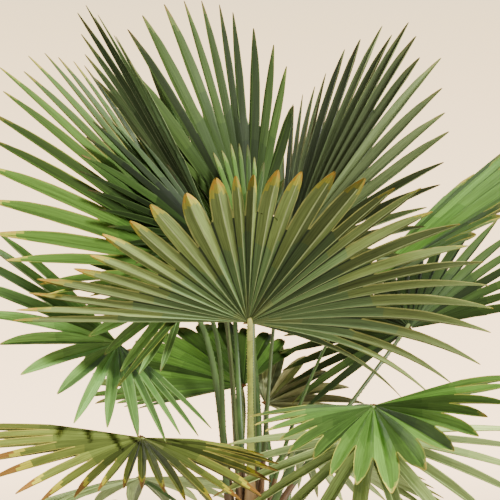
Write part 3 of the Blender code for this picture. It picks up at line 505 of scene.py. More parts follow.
class Room:
    """What is already placed, for telling whether one more piece touches any of it."""

    def __init__(self):
        self.low = []
        self.high = []
        self.trees = []

    def tree_of(self, points, faces):
        """A search tree of one piece's faces."""
        return BVHTree.FromPolygons([Vector(p) for p in points], faces)

    def add(self, points, faces):
        """Puts a piece among those that are placed."""
        points = np.asarray(points)
        self.low.append(points.min(0))
        self.high.append(points.max(0))
        self.trees.append(self.tree_of(points, faces))

    def touches(self, points, faces):
        """Whether a piece's faces cross those of any placed piece."""
        if not self.trees:
            return False
        low, high = points.min(0), points.max(0)
        close = np.all(np.array(self.low) <= high, 1) & np.all(np.array(self.high) >= low, 1)
        if not close.any():
            return False
        tree = self.tree_of(points, faces)
        return any(tree.overlap(self.trees[k]) for k in np.flatnonzero(close))


def closed_joined(fan):
    """The joined part of a blade's solid, closed all round, for the room check."""
    hub = fan.joined_row(HUB_HOLE / fan.rib_length, HUB_HOLE / fan.fold_length)
    points = []
    index = []
    for row in (hub, fan.start_points()):
        starts = []
        for block in row:
            starts.append(len(points))
            points.extend(block)
        index.append(starts)
    (et0, eb0, rt0, rb0), (et1, eb1, rt1, rb1) = index
    faces = []
    for i in range(fan.count):
        for low, high, r0, r1 in ((et0, et1, rt0, rt1), (eb0, eb1, rb0, rb1)):
            faces.append([low + i, r0 + i, r1 + i, high + i])
            faces.append([r0 + i, low + i + 1, high + i + 1, r1 + i])
        for et, eb, rt, rb in index:
            faces.append([et + i, eb + i, rb + i, rt + i])
            faces.append([rt + i, rb + i, eb + i + 1, et + i + 1])
    for j in (0, fan.count):
        faces.append([et0 + j, et1 + j, eb1 + j, eb0 + j])
    return points, faces


def give_room(fans, room):
    """Lifts, drops or shortens each free segment that would touch something placed before it."""
    moves = [(1.0, lift) for lift in (0, 0.08, -0.08, 0.16, -0.16, 0.26, -0.26)]
    moves += [(keep, lift) for keep in (0.85, 0.7, 0.55, 0.4, 0.25, 0.12)
              for lift in (0, 0.12, -0.12, 0.26, -0.26)]
    for fan in fans:
        row = fan.start_points()
        for i in range(fan.count):
            start = 0.5 * (fan.split[i] + fan.split[i + 1])
            for keep, lift in moves:
                end = start + (fan.ends[i] - start) * keep
                points, faces = segment_mesh(fan, i, end, lift, row)
                if not room.touches(points, faces):
                    break
            fan.ends[i] = end
            fan.lift[i] = lift
            room.add(points, faces)


def bezier(points, t):
    """The place at t, 0 to 1, on the curve of four control points."""
    a, b, c, d = (np.asarray(p, float) for p in points)
    s = 1 - t
    return s**3 * a + 3 * s * s * t * b + 3 * s * t * t * c + t**3 * d


def petiole_line(leaf):
    """The four control points of a petiole from inside the trunk to its hub, and its point beyond."""
    rib, side, face = leaf_frame(leaf)
    angles = leaf["angles"]
    middle = math.radians(0.5 * (min(angles) + max(angles)))
    ahead = unit(math.cos(middle) * rib + math.sin(middle) * side
                 + leaf["cup"] * abs(math.sin(middle)) * face)
    hub = np.array(leaf["hub"])
    turn, height = math.radians(leaf["base"][0]), leaf["base"][1]
    out = np.array([math.sin(turn), -math.cos(turn), 0.0])
    cx, cy = trunk_axis(height)
    inside = max(trunk_radius(height) - 0.010, 0.0)
    start = np.array([cx, cy, height]) + out * inside
    lean = math.radians(leaf["lean"])
    rise = math.sin(lean) * out + np.array([0.0, 0.0, math.cos(lean)])
    span = float(np.linalg.norm(hub - start))
    if "arrive" in leaf:
        az, el = np.radians(leaf["arrive"])
        way_in = np.array([math.sin(az) * math.cos(el), -math.cos(az) * math.cos(el), math.sin(el)])
    else:
        way_in = unit(0.4 * ahead + 0.6 * (hub - start) / span)
    out_share, in_share = leaf.get("arch", (0.42, 0.25))
    tip = PETIOLE_TIP * leaf.get("stout", 1.0)
    slant = float(np.dot(ahead, way_in))
    room = HUB_HOLE - 0.0013
    sideways = tip * math.sqrt(max(1 - slant * slant, 0.0))
    end = hub + ahead * (math.sqrt(room * room - (tip * slant) ** 2) - sideways)
    line = (start, start + rise * out_share * span, end - way_in * in_share * span, end)
    return line, hub + ahead * (HUB_HOLE - 1.6 * GAP)


def petiole_radius(leaf, t):
    """A petiole's radius at its share t of the way from the trunk to the hub."""
    if t < 0.5:
        radius = PETIOLE_BASE + (PETIOLE_MIDDLE - PETIOLE_BASE) * t / 0.5
    else:
        radius = PETIOLE_MIDDLE + (PETIOLE_TIP - PETIOLE_MIDDLE) * (t - 0.5) / 0.5
    return radius * leaf.get("stout", 1.0)


def petiole_spine(leaf, stations):
    """Places along a petiole, its middle and its ways ahead and across at each, and its point."""
    line, point = petiole_line(leaf)
    places = np.linspace(0, 1, stations)
    centres = [bezier(line, t) for t in places]
    ways = [unit(bezier(line, min(t + 0.01, 1)) - bezier(line, max(t - 0.01, 0))) for t in places]
    _, across, _ = leaf_frame(leaf)
    sides = []
    for way in ways:
        across = unit(across - way * np.dot(across, way))
        sides.append(across)
    return places, centres, ways, sides, point


def petiole_solid(leaf):
    """The petiole's solid as points and faces, for the room check."""
    places, centres, ways, sides, point = petiole_spine(leaf, PETIOLE_STATIONS)
    points = []
    for t, at, way, across in zip(places, centres, ways, sides):
        upward = np.cross(way, across)
        radius = petiole_radius(leaf, t)
        for k in range(PETIOLE_SIDES):
            turn = 2 * math.pi * (k + 0.5) / PETIOLE_SIDES
            points.append(at + radius * (math.cos(turn) * across + PETIOLE_FLAT * math.sin(turn) * upward))
    way = ways[0]
    foot = []
    for p in [*points[:PETIOLE_SIDES], centres[0]]:
        near, far = 0.0, 0.09
        for _ in range(40):
            mid = 0.5 * (near + far)
            if outside_trunk(p + way * mid) > GAP * 1.3:
                far = mid
            else:
                near = mid
        foot.append(p + way * far)
    points[:PETIOLE_SIDES] = foot[:-1]
    faces = ring_faces(PETIOLE_STATIONS, PETIOLE_SIDES)
    low = len(points)
    points += [foot[-1], point]
    last = (PETIOLE_STATIONS - 1) * PETIOLE_SIDES
    for k in range(PETIOLE_SIDES):
        j = (k + 1) % PETIOLE_SIDES
        faces.append([k, j, low])
        faces.append([last + k, last + j, low + 1])
    return points, faces


# Materials


def add_node(tree, kind, **values):
    """A shader node with some of its inputs set. An underscore in a name stands for a space."""
    node = tree.nodes.new("ShaderNode" + kind)
    for name, value in values.items():
        node.inputs[name.replace("_", " ")].default_value = value
    return node


def material(name, colour, rough=0.5, grain=0.0, grain_scale=60.0, bump=0.0, bump_scale=300.0,
             stretch=(1.0, 1.0, 1.0), specular=0.5, veins=False):
    """A Principled material whose colour varies by a noise and whose surface has a fine bump.

    With veins, both follow the leaf's own directions, across and along each segment.
    """
    made = bpy.data.materials.new(name)
    made.use_nodes = True
    tree = made.node_tree
    links = tree.links
    shader = tree.nodes["Principled BSDF"]
    shader.inputs["Roughness"].default_value = rough
    shader.inputs["Specular IOR Level"].default_value = specular
    shader.inputs["Base Color"].default_value = linear(colour)
    mapping = add_node(tree, "Mapping", Scale=stretch)
    if veins:
        place = add_node(tree, "Attribute")
        place.attribute_name = VEIN_LAYER
        links.new(place.outputs["Vector"], mapping.inputs["Vector"])
    else:
        place = add_node(tree, "TexCoord")
        links.new(place.outputs["Object"], mapping.inputs["Vector"])
    if grain:
        noise = add_node(tree, "TexNoise", Scale=grain_scale, Detail=5.0)
        links.new(mapping.outputs["Vector"], noise.inputs["Vector"])
        ramp = add_node(tree, "ValToRGB")
        for end, spot, shade in zip(ramp.color_ramp.elements, (0.3, 0.7), (1 - grain, 1 + grain)):
            end.position = spot
            end.color = linear(tinted(colour, shade))
        links.new(noise.outputs["Fac"], ramp.inputs["Fac"])
        links.new(ramp.outputs["Color"], shader.inputs["Base Color"])
    if bump:
        fine = add_node(tree, "TexNoise", Scale=bump_scale, Detail=4.0)
        links.new(mapping.outputs["Vector"], fine.inputs["Vector"])
        relief = add_node(tree, "Bump", Strength=bump, Distance=0.001)
        links.new(fine.outputs["Fac"], relief.inputs["Height"])
        links.new(relief.outputs["Normal"], shader.inputs["Normal"])
    return made


def tinted(colour, shade):
    """A screen colour made darker or lighter."""
    return [min(255.0, c * shade) for c in colour]


def leaf_materials():
    """Each tint's materials: for either face five zones in three shades, then ribs, margins, and painted
    shade that darkens the lower face's folds near the hub.
    """
    made = {}
    for tint, look in TINTS.items():
        slots = []
        for side in ("top", "low"):
            rough = look["rough"] + (0.10 if side == "low" else 0.0)
            for zone, colour in zip(ZONES, look[side]):
                for k, shade in enumerate(SHADES):
                    slots.append(material(f"{tint}_{side}_{zone}_{k}", tinted(colour, shade), rough,
                                          grain=0.15, grain_scale=1.0, bump=0.35, bump_scale=2.2,
                                          specular=look.get("gloss", 0.10), veins=True))
        slots.append(material(f"{tint}_rib_top", look["top"][2], look["rough"], 0.06, specular=0.12))
        slots.append(material(f"{tint}_rib_low", look["rib"], look["rough"] + 0.1, 0.06, specular=0.12))
        slots.append(material(f"{tint}_edge", look["edge"], look["rough"], 0.10, specular=0.12))
        # painted shade: a darker copy of the lower face's green, laid along its folds near the hub
        slots.append(material(f"{tint}_painted_fold_shade", tinted(look["low"][1], FOLD_PAINTED_SHADE), 0.6, 0.10,
                              specular=0.2))
        made[tint] = slots
    return made


# Mesh helpers


def place_object(name, data):
    """An object in the scene for a mesh, a lamp or a camera."""
    obj = bpy.data.objects.new(name, data)
    bpy.context.scene.collection.objects.link(obj)
    return obj


def add_piece(name, points, faces, materials, tones=None, smooth_under=32.0, veins=None):
    """A mesh object with smooth faces, sharp where they meet at more than an angle in degrees."""
    data = bpy.data.meshes.new(name)
    data.from_pydata([tuple(p) for p in np.asarray(points).tolist()], [], faces)
    for made in materials:
        data.materials.append(made)
    if tones is not None:
        data.polygons.foreach_set("material_index", np.asarray(tones, np.int32))
    if veins is not None:
        layer = data.attributes.new(VEIN_LAYER, "FLOAT_VECTOR", "POINT")
        layer.data.foreach_set("vector", np.asarray(veins, np.float32).reshape(-1))
    data.shade_smooth()
    data.set_sharp_from_angle(angle=math.radians(smooth_under))
    data.update()
    return place_object(name, data)


def keep(piece, node, slot_name):
    """Sets a piece on the model in place of one of its nodes."""
    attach(piece, "root")
    if node:
        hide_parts(node)
    return piece


# Blades


def finger_width(q, near, far):
    """A free segment's width at its share q, as a share of its width where it starts."""
    if q < 0.45:
        slow = 1 + (near - 1) * q / 0.45
    else:
        slow = near + (far - near) * min((q - 0.45) / 0.37, 1.0)
    near_tip = max((q - 0.68) / 0.32, 0.0)
    return slow * (1 - near_tip**1.9 * 0.88)


def row_points(left, centre, right, face, bow):
    """The points across one row of segments: margins up, rib down, each half a little bowed."""
    out = []
    for t in PLACES:
        edge = left if t < 0 else right
        share = abs(t)
        lift = bow * math.sin(math.pi * share)
        out.append(centre + (edge - centre) * share + face * lift[:, None])
    return np.stack(out, 1)


def blade_rows(fan):
    """All rows of a blade's segments as (rows, segments, places, 3), with faces' ways and shares."""
    start = 0.5 * (fan.split[:-1] + fan.split[1:])
    inner_rib = INNER_RING / fan.rib_length
    inner_fold = INNER_RING / fan.fold_length
    rows, ways, shares = [], [], []
    for j in range(JOINED_ROWS + 1):
        f = (j / JOINED_ROWS) ** 1.25
        fold_share = inner_fold + (fan.split - inner_fold) * f
        rib_share = inner_rib + (start - inner_rib) * f
        edge_at, _, edge_face = fan.local(fan.folds, fan.fold_sides, fold_share)
        rib_at, _, face = fan.local(fan.ribs, fan.rib_sides, rib_share)
        wide = 0.5 * np.linalg.norm(edge_at[1:] - edge_at[:-1], axis=1)
        deep = np.minimum(FOLD_SHARE * wide, FOLD_MOST)
        edge_deep = np.interp(fan.fold_x, fan.rib_x, deep)
        edge_at = edge_at + edge_face * (edge_deep / 2)[:, None]
        centre = rib_at - face * (deep / 2)[:, None]
        rows.append(row_points(edge_at[:-1], centre, edge_at[1:], face, 0.05 * wide))
        ways.append(face)
        shares.append(rib_share / fan.ends)
    full = np.array([fan.half_width(s)[i] for i, s in enumerate(start)])
    draws = np.random.default_rng(fan.seed * 7 + 3)
    bend = draws.uniform(-1, 1, fan.count) * 0.004
    sag = draws.uniform(-1, 1, fan.count) * 0.004
    wider = 1 + draws.uniform(-0.07, 0.07, fan.count)
    near, far = (level_out(taper, fan.rib_x) for taper in fan.leaf["taper"])
    for j in range(1, FREE_ROWS + 1):
        q = (j / FREE_ROWS) ** 0.9
        share = start + (fan.ends - start) * q
        at, across, face = fan.local(fan.ribs, fan.rib_sides, share)
        length = (fan.ends - start) * fan.rib_length
        at = at + face * (fan.lift * q * length + sag * q * q)[:, None]
        at = at + across * (bend * q * q)[:, None]
        fold_gap = 1 + (wider - 1) * min(q * 4, 1.0)
        wide = full * finger_width(q, near, far) * fold_gap
        deep = np.minimum(FOLD_SHARE * wide, FOLD_MOST) * (1 - 0.25 * q)
        left = at - across * wide[:, None] + face * (deep / 2)[:, None]
        right = at + across * wide[:, None] + face * (deep / 2)[:, None]
        centre = at - face * (deep / 2)[:, None]
        rows.append(row_points(left, centre, right, face, 0.07 * wide))
        ways.append(face)
        shares.append(share / fan.ends)
    notch_tips(rows)
    return np.stack(rows), np.stack(ways), np.stack(shares)


def notch_tips(rows):
    """Draws the middle of each tip back, which leaves two short points."""
    ahead = unit(rows[-1] - rows[-2])
    back = np.interp(np.abs(PLACES), [0.0, 0.45, 1.0], [1.0, 0.0, 0.6]) * NOTCH
    rows[-1] = rows[-1] - ahead * back[None, :, None]


def zone_of(share, turns, early, drift, place):
    """Which of the five tints a share of a segment's length has; margins turn before the middle."""
    first, second = turns
    near_tip = share + early + MARGIN_EARLY * max(abs(place) - 0.25, 0.0)
    near_hub = share + drift
    inner = (near_hub > HUB_ZONE_ENDS).astype(int) + (near_hub > BODY_ZONE_ENDS)
    return inner + (near_tip > first) + (near_tip > second)


def build_ligule(leaf, skin):
    """The small crumpled tongue that stands on the upper face where a stalk meets its blade."""
    rib, side, face = leaf_frame(leaf)
    withered = leaf.get("withered", 1.0)
    wide, tall = 0.0085 * withered, 0.0080 * withered
    foot = np.array(leaf["hub"]) - face * 0.0030 - rib * 0.002
    way = unit(face * 0.85 + rib * 0.5)
    back = unit(np.cross(side, way))
    across = np.linspace(-1, 1, LIGULE_ACROSS)
    up = np.linspace(0, 1, LIGULE_UP)
    phase = sum(map(ord, leaf["name"]))
    shells = []
    for skin_side in (-0.5, 0.5):
        for v in up:
            for u in across:
                crumple = 0.0012 * withered * v * math.sin(3.4 * u + phase) * math.cos(2.3 * v + 2 * u)
                reach = tall * v * (1 - 0.55 * u * u + 0.12 * math.sin(7 * u + phase))
                at = foot + side * (u * wide * (1 - 0.3 * v)) + way * reach
                shells.append(at + back * (crumple + skin_side * 0.0009 * (1.3 - v) + 0.002 * u * u))
    faces = []
    half = LIGULE_ACROSS * LIGULE_UP
    for r in range(LIGULE_UP - 1):
        for c in range(LIGULE_ACROSS - 1):
            a, b = r * LIGULE_ACROSS + c, (r + 1) * LIGULE_ACROSS + c
            faces.append([a, b, b + 1, a + 1])
            faces.append([half + a, half + a + 1, half + b + 1, half + b])
    rim = list(range(LIGULE_ACROSS))
    rim += [r * LIGULE_ACROSS + LIGULE_ACROSS - 1 for r in range(1, LIGULE_UP)]
    rim += [half - 1 - c for c in range(1, LIGULE_ACROSS)]
    rim += [r * LIGULE_ACROSS for r in range(LIGULE_UP - 2, 0, -1)]
    for a, b in zip(rim, rim[1:] + rim[:1]):
        faces.append([a, b, half + b, half + a])
    piece = add_piece(leaf["name"] + "_ligule", shells, faces, [skin], None, 50.0)
    return keep(piece, None, "petiole")


def build_blade(fan, materials):
    """A blade of thin folded segments, each with an upper and a lower face and its margins."""
    look = TINTS[fan.leaf["tint"]]
    rows, ways, shares = blade_rows(fan)
    near_rib = np.abs(PLACES) < 0.2
    raise_low = np.where(near_rib, RIB_RAISE, 0.0)[None, None, :, None]
    fade = np.clip(1.15 - shares, 0.15, 1.0)[:, :, None, None]
    lift = ways[:, :, None, :] * LEAF_THICK / 2
    top = rows + lift
    low = rows - lift - ways[:, :, None, :] * raise_low * fade
    count_rows, count, across = rows.shape[:3]
    points = np.concatenate([top.reshape(-1, 3), low.reshape(-1, 3)])
    index = np.arange(count_rows * count * across).reshape(count_rows, count, across)
    under = index + index.size
    draws = np.random.default_rng(fan.seed * 11 + 5)
    early = draws.normal(0.0, look.get("ragged", 0.014), count)
    early = early + level_out(fan.leaf.get("sere", 0.0), fan.rib_x)
    drift = draws.normal(0.0, 0.07, (count, 2))
    shade = draws.choice(3, size=count, p=[0.3, 0.45, 0.25])
    half_shade = np.clip(shade[:, None] + draws.choice([-1, 0, 0, 1], size=(count, 2)), 0, 2)
    faces, tones = [], []

    def add(a, b, c, d, tone):
        quads = np.stack([a, b, c, d], -1).reshape(-1, 4)
        if fan.turn < 0:
            quads = quads[:, ::-1]
        faces.append(quads)
        tones.append(np.broadcast_to(tone, a.shape).reshape(-1))

    middle = 0.5 * (shares[1:] + shares[:-1])
    free = (np.arange(count_rows - 1) >= JOINED_ROWS)[:, None]
    for c in range(across - 1):
        place = 0.5 * (PLACES[c] + PLACES[c + 1])
        half = int(place > 0)
        zone = zone_of(middle, look["turns"], early, drift[:, half], place)
        tone_top = zone * len(SHADES) + half_shade[None, :, half]
        tone_low = LOW_TONES + tone_top
        green = zone < ZONES.index("turning")
        if c == RIB_STRIP:
            tone_top = np.where(green, RIB_TOP, tone_top)
            tone_low = np.where(green, RIB_LOW, tone_low)
        elif c in (0, across - 2):
            tone_top = np.where(green & free, EDGE_TONE, tone_top)
            # near the hub the lower face's fold strips take the painted fold shade
            tone_low = np.where(green & free, EDGE_TONE, np.where(free, tone_low, PAINTED_FOLD_SHADE_TONE))
        add(index[:-1, :, c], index[:-1, :, c + 1], index[1:, :, c + 1], index[1:, :, c], tone_top)
        add(under[:-1, :, c + 1], under[:-1, :, c], under[1:, :, c], under[1:, :, c + 1], tone_low)
        add(index[-1, :, c], index[-1, :, c + 1], under[-1, :, c + 1], under[-1, :, c], TIP_TONE)
        add(index[0, :, c + 1], index[0, :, c], under[0, :, c], under[0, :, c + 1], HUB_TONE)
    last = across - 1
    add(under[:-1, :, 0], index[:-1, :, 0], index[1:, :, 0], under[1:, :, 0], EDGE_TONE)
    add(index[:-1, :, last], under[:-1, :, last], under[1:, :, last], index[1:, :, last], EDGE_TONE)
    faces = np.concatenate(faces).tolist()
    veins = np.zeros((2, count_rows, count, across, 3))
    veins[..., 0] = PLACES * VEINS_ACROSS
    veins[..., 1] = shares[None, :, :, None] * VEINS_ALONG
    veins[..., 2] = (np.arange(count) * VEINS_APART)[None, None, :, None]
    veins[1, ..., 2] += VEINS_UNDER
    piece = add_piece(fan.leaf["name"] + "_segments", points, faces, materials[fan.leaf["tint"]],
                      np.concatenate(tones), veins=veins)
    return keep(piece, fan.leaf["name"] + "_blade", "blade")


# Petioles

STALKS = {
    "front": ((120, 96, 58), (140, 148, 66), (168, 168, 92)),
    "dark": ((84, 62, 40), (70, 84, 44), (110, 124, 66)),
    "olive": ((104, 74, 46), (88, 98, 46), (124, 130, 68)),
    "green": ((92, 70, 44), (66, 90, 42), (104, 126, 62)),
}
STALK_OF = {"front": "front", "dark": "dark", "dusky": "dark", "deep": "dark", "pale": "dark",
            "olive": "olive", "shade": "olive"}
STALK_STATIONS = 30
STALK_SIDES = 14
FOOT_ENDS = 0.13
TIP_STARTS = 0.86
SHEATH_WIDER = 0.9
SHEATH_LENGTH = 0.05
FLAT_ABOVE = 0.42
FLAT_BELOW = 0.86
FIRST_TOOTH = 3
TOOTH = 0.0011
TOOTH_VARIES = 0.0004


def stalk_ring(leaf, t, at, way, across):
    """One ring of a petiole: rounded below, nearly flat above, with two narrow margins."""
    upward = np.cross(way, across)
    radius = petiole_radius(leaf, t)
    sheath = 1 + SHEATH_WIDER * math.exp(-t / SHEATH_LENGTH)
    ring = []
    for k in range(STALK_SIDES):
        turn = 2 * math.pi * k / STALK_SIDES
        x, y = math.cos(turn), math.sin(turn)
        flat = FLAT_ABOVE if y > 0 else FLAT_BELOW
        ring.append(at + radius * (sheath * x * across + flat * y * upward))
    return ring


def stalk_teeth(leaf, places, centres, ways, sides):
    """Fine teeth along both margins of a petiole, as small three-sided points."""
    points, faces = [], []
    for k in range(FIRST_TOOTH, len(places) - 1):
        for part in (0.0, 0.5):
            for hand in (-1, 1):
                near = centres[k] + (centres[k + 1] - centres[k]) * part
                out = sides[k] * hand
                rim = near + out * petiole_radius(leaf, places[k]) * 0.97
                size = TOOTH + TOOTH_VARIES * wobble(k * 3.1, hand + part)
                base = len(points)
                points += [rim - ways[k] * size * 1.4, rim + ways[k] * size * 1.4,
                           rim + np.cross(ways[k], out) * size, rim + out * size * 1.5 + ways[k] * size]
                faces += [[base, base + 1, base + 3], [base + 1, base + 2, base + 3],
                          [base + 2, base, base + 3], [base, base + 2, base + 1]]
    return points, faces


def build_petiole(leaf, materials):
    """A petiole with a brown foot, a green length and a pale tip that runs in under its blade."""
    places, centres, ways, sides, point = petiole_spine(leaf, STALK_STATIONS)
    points = []
    for t, at, way, across in zip(places, centres, ways, sides):
        points += stalk_ring(leaf, t, at, way, across)
    faces, tones = ring_faces(STALK_STATIONS, STALK_SIDES), []
    for place in places[:-1]:
        tones += [0 if place < FOOT_ENDS else (2 if place > TIP_STARTS else 1)] * STALK_SIDES
    low = len(points)
    points += [centres[0], point]
    last = (STALK_STATIONS - 1) * STALK_SIDES
    for k in range(STALK_SIDES):
        j = (k + 1) % STALK_SIDES
        faces.append([j, k, low])
        faces.append([last + k, last + j, low + 1])
        tones += [0, 2]
    more, more_faces = stalk_teeth(leaf, places, centres, ways, sides)
    base = len(points)
    points += more
    faces += [[v + base for v in f] for f in more_faces]
    tones += [1] * len(more_faces)
    kind = STALK_OF.get(leaf["tint"], "green")
    piece = add_piece(leaf["name"] + "_stalk", points, faces, materials[kind], tones, 40.0)
    return keep(piece, leaf["name"] + "_petiole", "petiole")


def stalk_materials():
    """Each kind of petiole's materials: its foot, its length and its tip."""
    made = {}
    for kind, colours in STALKS.items():
        made[kind] = [
            material(f"stalk_{kind}_{zone}", colour, 0.45, grain=0.14, grain_scale=90.0, bump=0.25,
                     bump_scale=240.0, stretch=(1.0, 1.0, 0.12))
            for zone, colour in zip(("foot", "length", "tip"), colours)
        ]
    return made


# Trunk

BARK_ROWS = 110
BARK_SIDES = 120
BARK_SUNK = 0.002
WEAVE_HIGH = 0.0011
LUMP_HIGH = 0.0016
BARK_INSET = 0.0012
STUBS = 34
STUB_FIRST = 0.335
STUB_SPAN = 0.34
STUB_WIDE = 0.016
STUB_THICK = 0.0048
STUB_LONG = 0.040
STUB_VARIES = 0.012
GOLDEN_ANGLE = 137.5
FIBRES = 2600
FIBRE_STATIONS = 6
FIBRE_BROWNS = ((92, 62, 38), (122, 88, 56), (64, 44, 30), (146, 112, 76))


def build_trunk():
    """The trunk's bark with a woven relief, the stubs of old stalks and a coat of loose fibre."""
    bark = material("bark", (84, 60, 42), 0.85, grain=0.35, grain_scale=70.0, bump=0.9,
                    bump_scale=160.0, stretch=(1.0, 1.0, 0.35), specular=0.2)
    rows, sides = BARK_ROWS, BARK_SIDES
    points = []
    for r in range(rows + 1):
        z = SOIL_TOP - BARK_SUNK + (TRUNK_TOP - SOIL_TOP - 0.001) * r / rows
        cx, cy = trunk_axis(max(z, SOIL_TOP))
        radius = trunk_radius(max(z, SOIL_TOP))
        for k in range(sides):
            turn = 2 * math.pi * k / sides
            weave = math.sin(24 * turn + 260 * z) * math.sin(24 * turn - 260 * z)
            lumps = 0.5 * math.sin(5 * turn + 38 * z) + 0.5 * math.sin(8 * turn - 27 * z)
            relief = WEAVE_HIGH * weave + LUMP_HIGH * lumps - BARK_INSET
            reach = radius + relief * min(1.0, radius / 0.03)
            points.append((cx + reach * math.cos(turn), cy + reach * math.sin(turn), z))
    faces = ring_faces(rows + 1, sides)
    points.append((*trunk_axis(TRUNK_TOP), TRUNK_TOP))
    top = rows * sides
    for k in range(sides):
        faces.append([top + k, top + (k + 1) % sides, len(points) - 1])
    trunk = add_piece("trunk_bark", points, faces, [bark])
    keep(trunk, "trunk", "trunk")
    build_stubs()
    build_fibres()


def trunk_place(turn, z, out=0.0):
    """A place on the trunk's surface, or a little out from it."""
    cx, cy = trunk_axis(z)
    reach = trunk_radius(z) + out
    return np.array([cx + reach * math.cos(turn), cy + reach * math.sin(turn), z])


def build_stubs():
    """Stubs of old stalks, set round the trunk by the golden angle and cut off short."""
    skin = material("stub_skin", (112, 84, 58), 0.75, grain=0.30, grain_scale=120.0, bump=0.6,
                    bump_scale=200.0, stretch=(1.0, 1.0, 0.3))
    cut = material("stub_cut", (150, 122, 88), 0.8, grain=0.20, grain_scale=200.0)
    points, faces, tones = [], [], []
    for n in range(STUBS):
        z = STUB_FIRST + STUB_SPAN * (n + 0.5) / STUBS
        turn = math.radians(GOLDEN_ANGLE) * n
        foot = trunk_place(turn, z, -0.006)
        out = np.array([math.cos(turn), math.sin(turn), 0.0])
        across = np.array([-math.sin(turn), math.cos(turn), 0.0])
        lean = math.radians(20 + 7 * wobble(n, 1.0))
        way = math.cos(lean) * np.array([0.0, 0.0, 1.0]) + math.sin(lean) * out
        upward = np.cross(across, way)
        length = STUB_LONG + STUB_VARIES * wobble(n, 2.0)
        base = len(points)
        rings, sides = 6, 10
        for r in range(rings):
            t = r / (rings - 1)
            wide = STUB_WIDE * (1 - 0.42 * t)
            thick = STUB_THICK * (1 - 0.15 * t)
            at = foot + way * length * t + out * 0.002 * t
            for k in range(sides):
                a = 2 * math.pi * k / sides
                points.append(at + across * wide * math.cos(a) + upward * thick * math.sin(a))
        faces += ring_faces(rings, sides, base)
        tones += [0] * ((rings - 1) * sides)
        last = base + (rings - 1) * sides
        faces.append([last + k for k in range(sides)])
        faces.append([base + k for k in reversed(range(sides))])
        tones += [1, 0]
    stubs = add_piece("old_stalk_stubs", points, faces, [skin, cut], tones)
    keep(stubs, None, "trunk")


def build_fibres():
    """Loose brown fibres that wrap the trunk both ways and stand off it at their ends."""
    browns = [material(f"fibre_{k}", colour, 0.8, grain=0.15, specular=0.25)
              for k, colour in enumerate(FIBRE_BROWNS)]
    draws = np.random.default_rng(41)
    points, faces, tones = [], [], []
    for n in range(FIBRES):
        z = draws.uniform(SOIL_TOP + 0.01, TRUNK_TOP - 0.022)
        turn = draws.uniform(0, 2 * math.pi)
        hand = 1 if n % 2 else -1
        length = draws.uniform(0.035, 0.085)
        slant = math.radians(draws.uniform(28, 68))
        loose = draws.uniform(0.001, 0.008) if n % 5 else draws.uniform(0.006, 0.018)
        thick = draws.uniform(0.0003, 0.00065)
        base = len(points)
        for s in range(FIBRE_STATIONS):
            f = s / (FIBRE_STATIONS - 1)
            up = z + length * math.sin(slant) * f
            up = min(up, TRUNK_TOP - 0.004 + 0.03 * f)
            stay = min(up, TRUNK_TOP - 0.012)
            way = turn + hand * length * math.cos(slant) * f / 0.05
            centre = trunk_place(way, stay, 0.0005 + loose * f * f)
            centre[2] = up
            out = np.array([math.cos(way), math.sin(way), 0.0])
            along_way = np.array([-math.sin(way) * hand, math.cos(way) * hand, 1.0])
            across = unit(np.cross(out, along_way))
            size = thick * (1 - 0.75 * f)
            points += [centre - across * size, centre + across * size, centre + out * size * 1.2]
        faces += ring_faces(FIBRE_STATIONS, 3, base)
        tones += [int(draws.integers(0, len(FIBRE_BROWNS)))] * ((FIBRE_STATIONS - 1) * 3)
    fibres = add_piece("trunk_fibres", points, faces, browns, tones)
    keep(fibres, None, "trunk")


# Pot and soil

POT_PROFILE = [
    (0.0, 0.0), (0.120, 0.0), (0.1255, 0.0006), (0.1287, 0.0022), (0.1303, 0.0052),
    (0.1410, 0.090), (0.1520, 0.180), (0.1655, 0.2838), (0.1775, 0.2856), (0.1805, 0.2875),
    (0.1820, 0.2915), (0.1822, 0.305), (0.1820, 0.3195), (0.1806, 0.3255), (0.1775, 0.3290),
    (0.1735, 0.3300), (0.1680, 0.3292), (0.1632, 0.3262), (0.1602, 0.3210), (0.1585, 0.300),
    (0.1560, 0.280),
]
POT_SIDES = 144
CLAY = (178, 104, 70)
BLOOM = (206, 178, 156)
SOIL_RADIUS = 0.1575
SOIL_LUMP = 0.0014
CRUMBS = 1500
CRUMB_TONES = ((70, 50, 36), (48, 36, 28), (104, 74, 48), (132, 120, 104))
CRUMB_SHARES = [0.42, 0.3, 0.22, 0.06]


def build_pot():
    """A plain unglazed clay pot with a rolled rim, faint turning rings and a pale bloom."""
    clay = clay_material()
    points = []
    for radius, z in POT_PROFILE:
        for k in range(POT_SIDES):
            turn = 2 * math.pi * k / POT_SIDES
            ring = 0.00025 * math.sin(z * 900) if 0.02 < z < 0.28 and radius > 0.12 else 0.0
            sway = 0.0004 * math.sin(2 * turn + 9 * z)
            reach = max(radius + ring + (sway if radius > 0.12 else 0), 0.0)
            points.append((reach * math.cos(turn), reach * math.sin(turn), z))
    faces = ring_faces(len(POT_PROFILE), POT_SIDES)
    pot = add_piece("clay_pot", points, faces, [clay], None, 50.0)
    keep(pot, "pot", "pot")


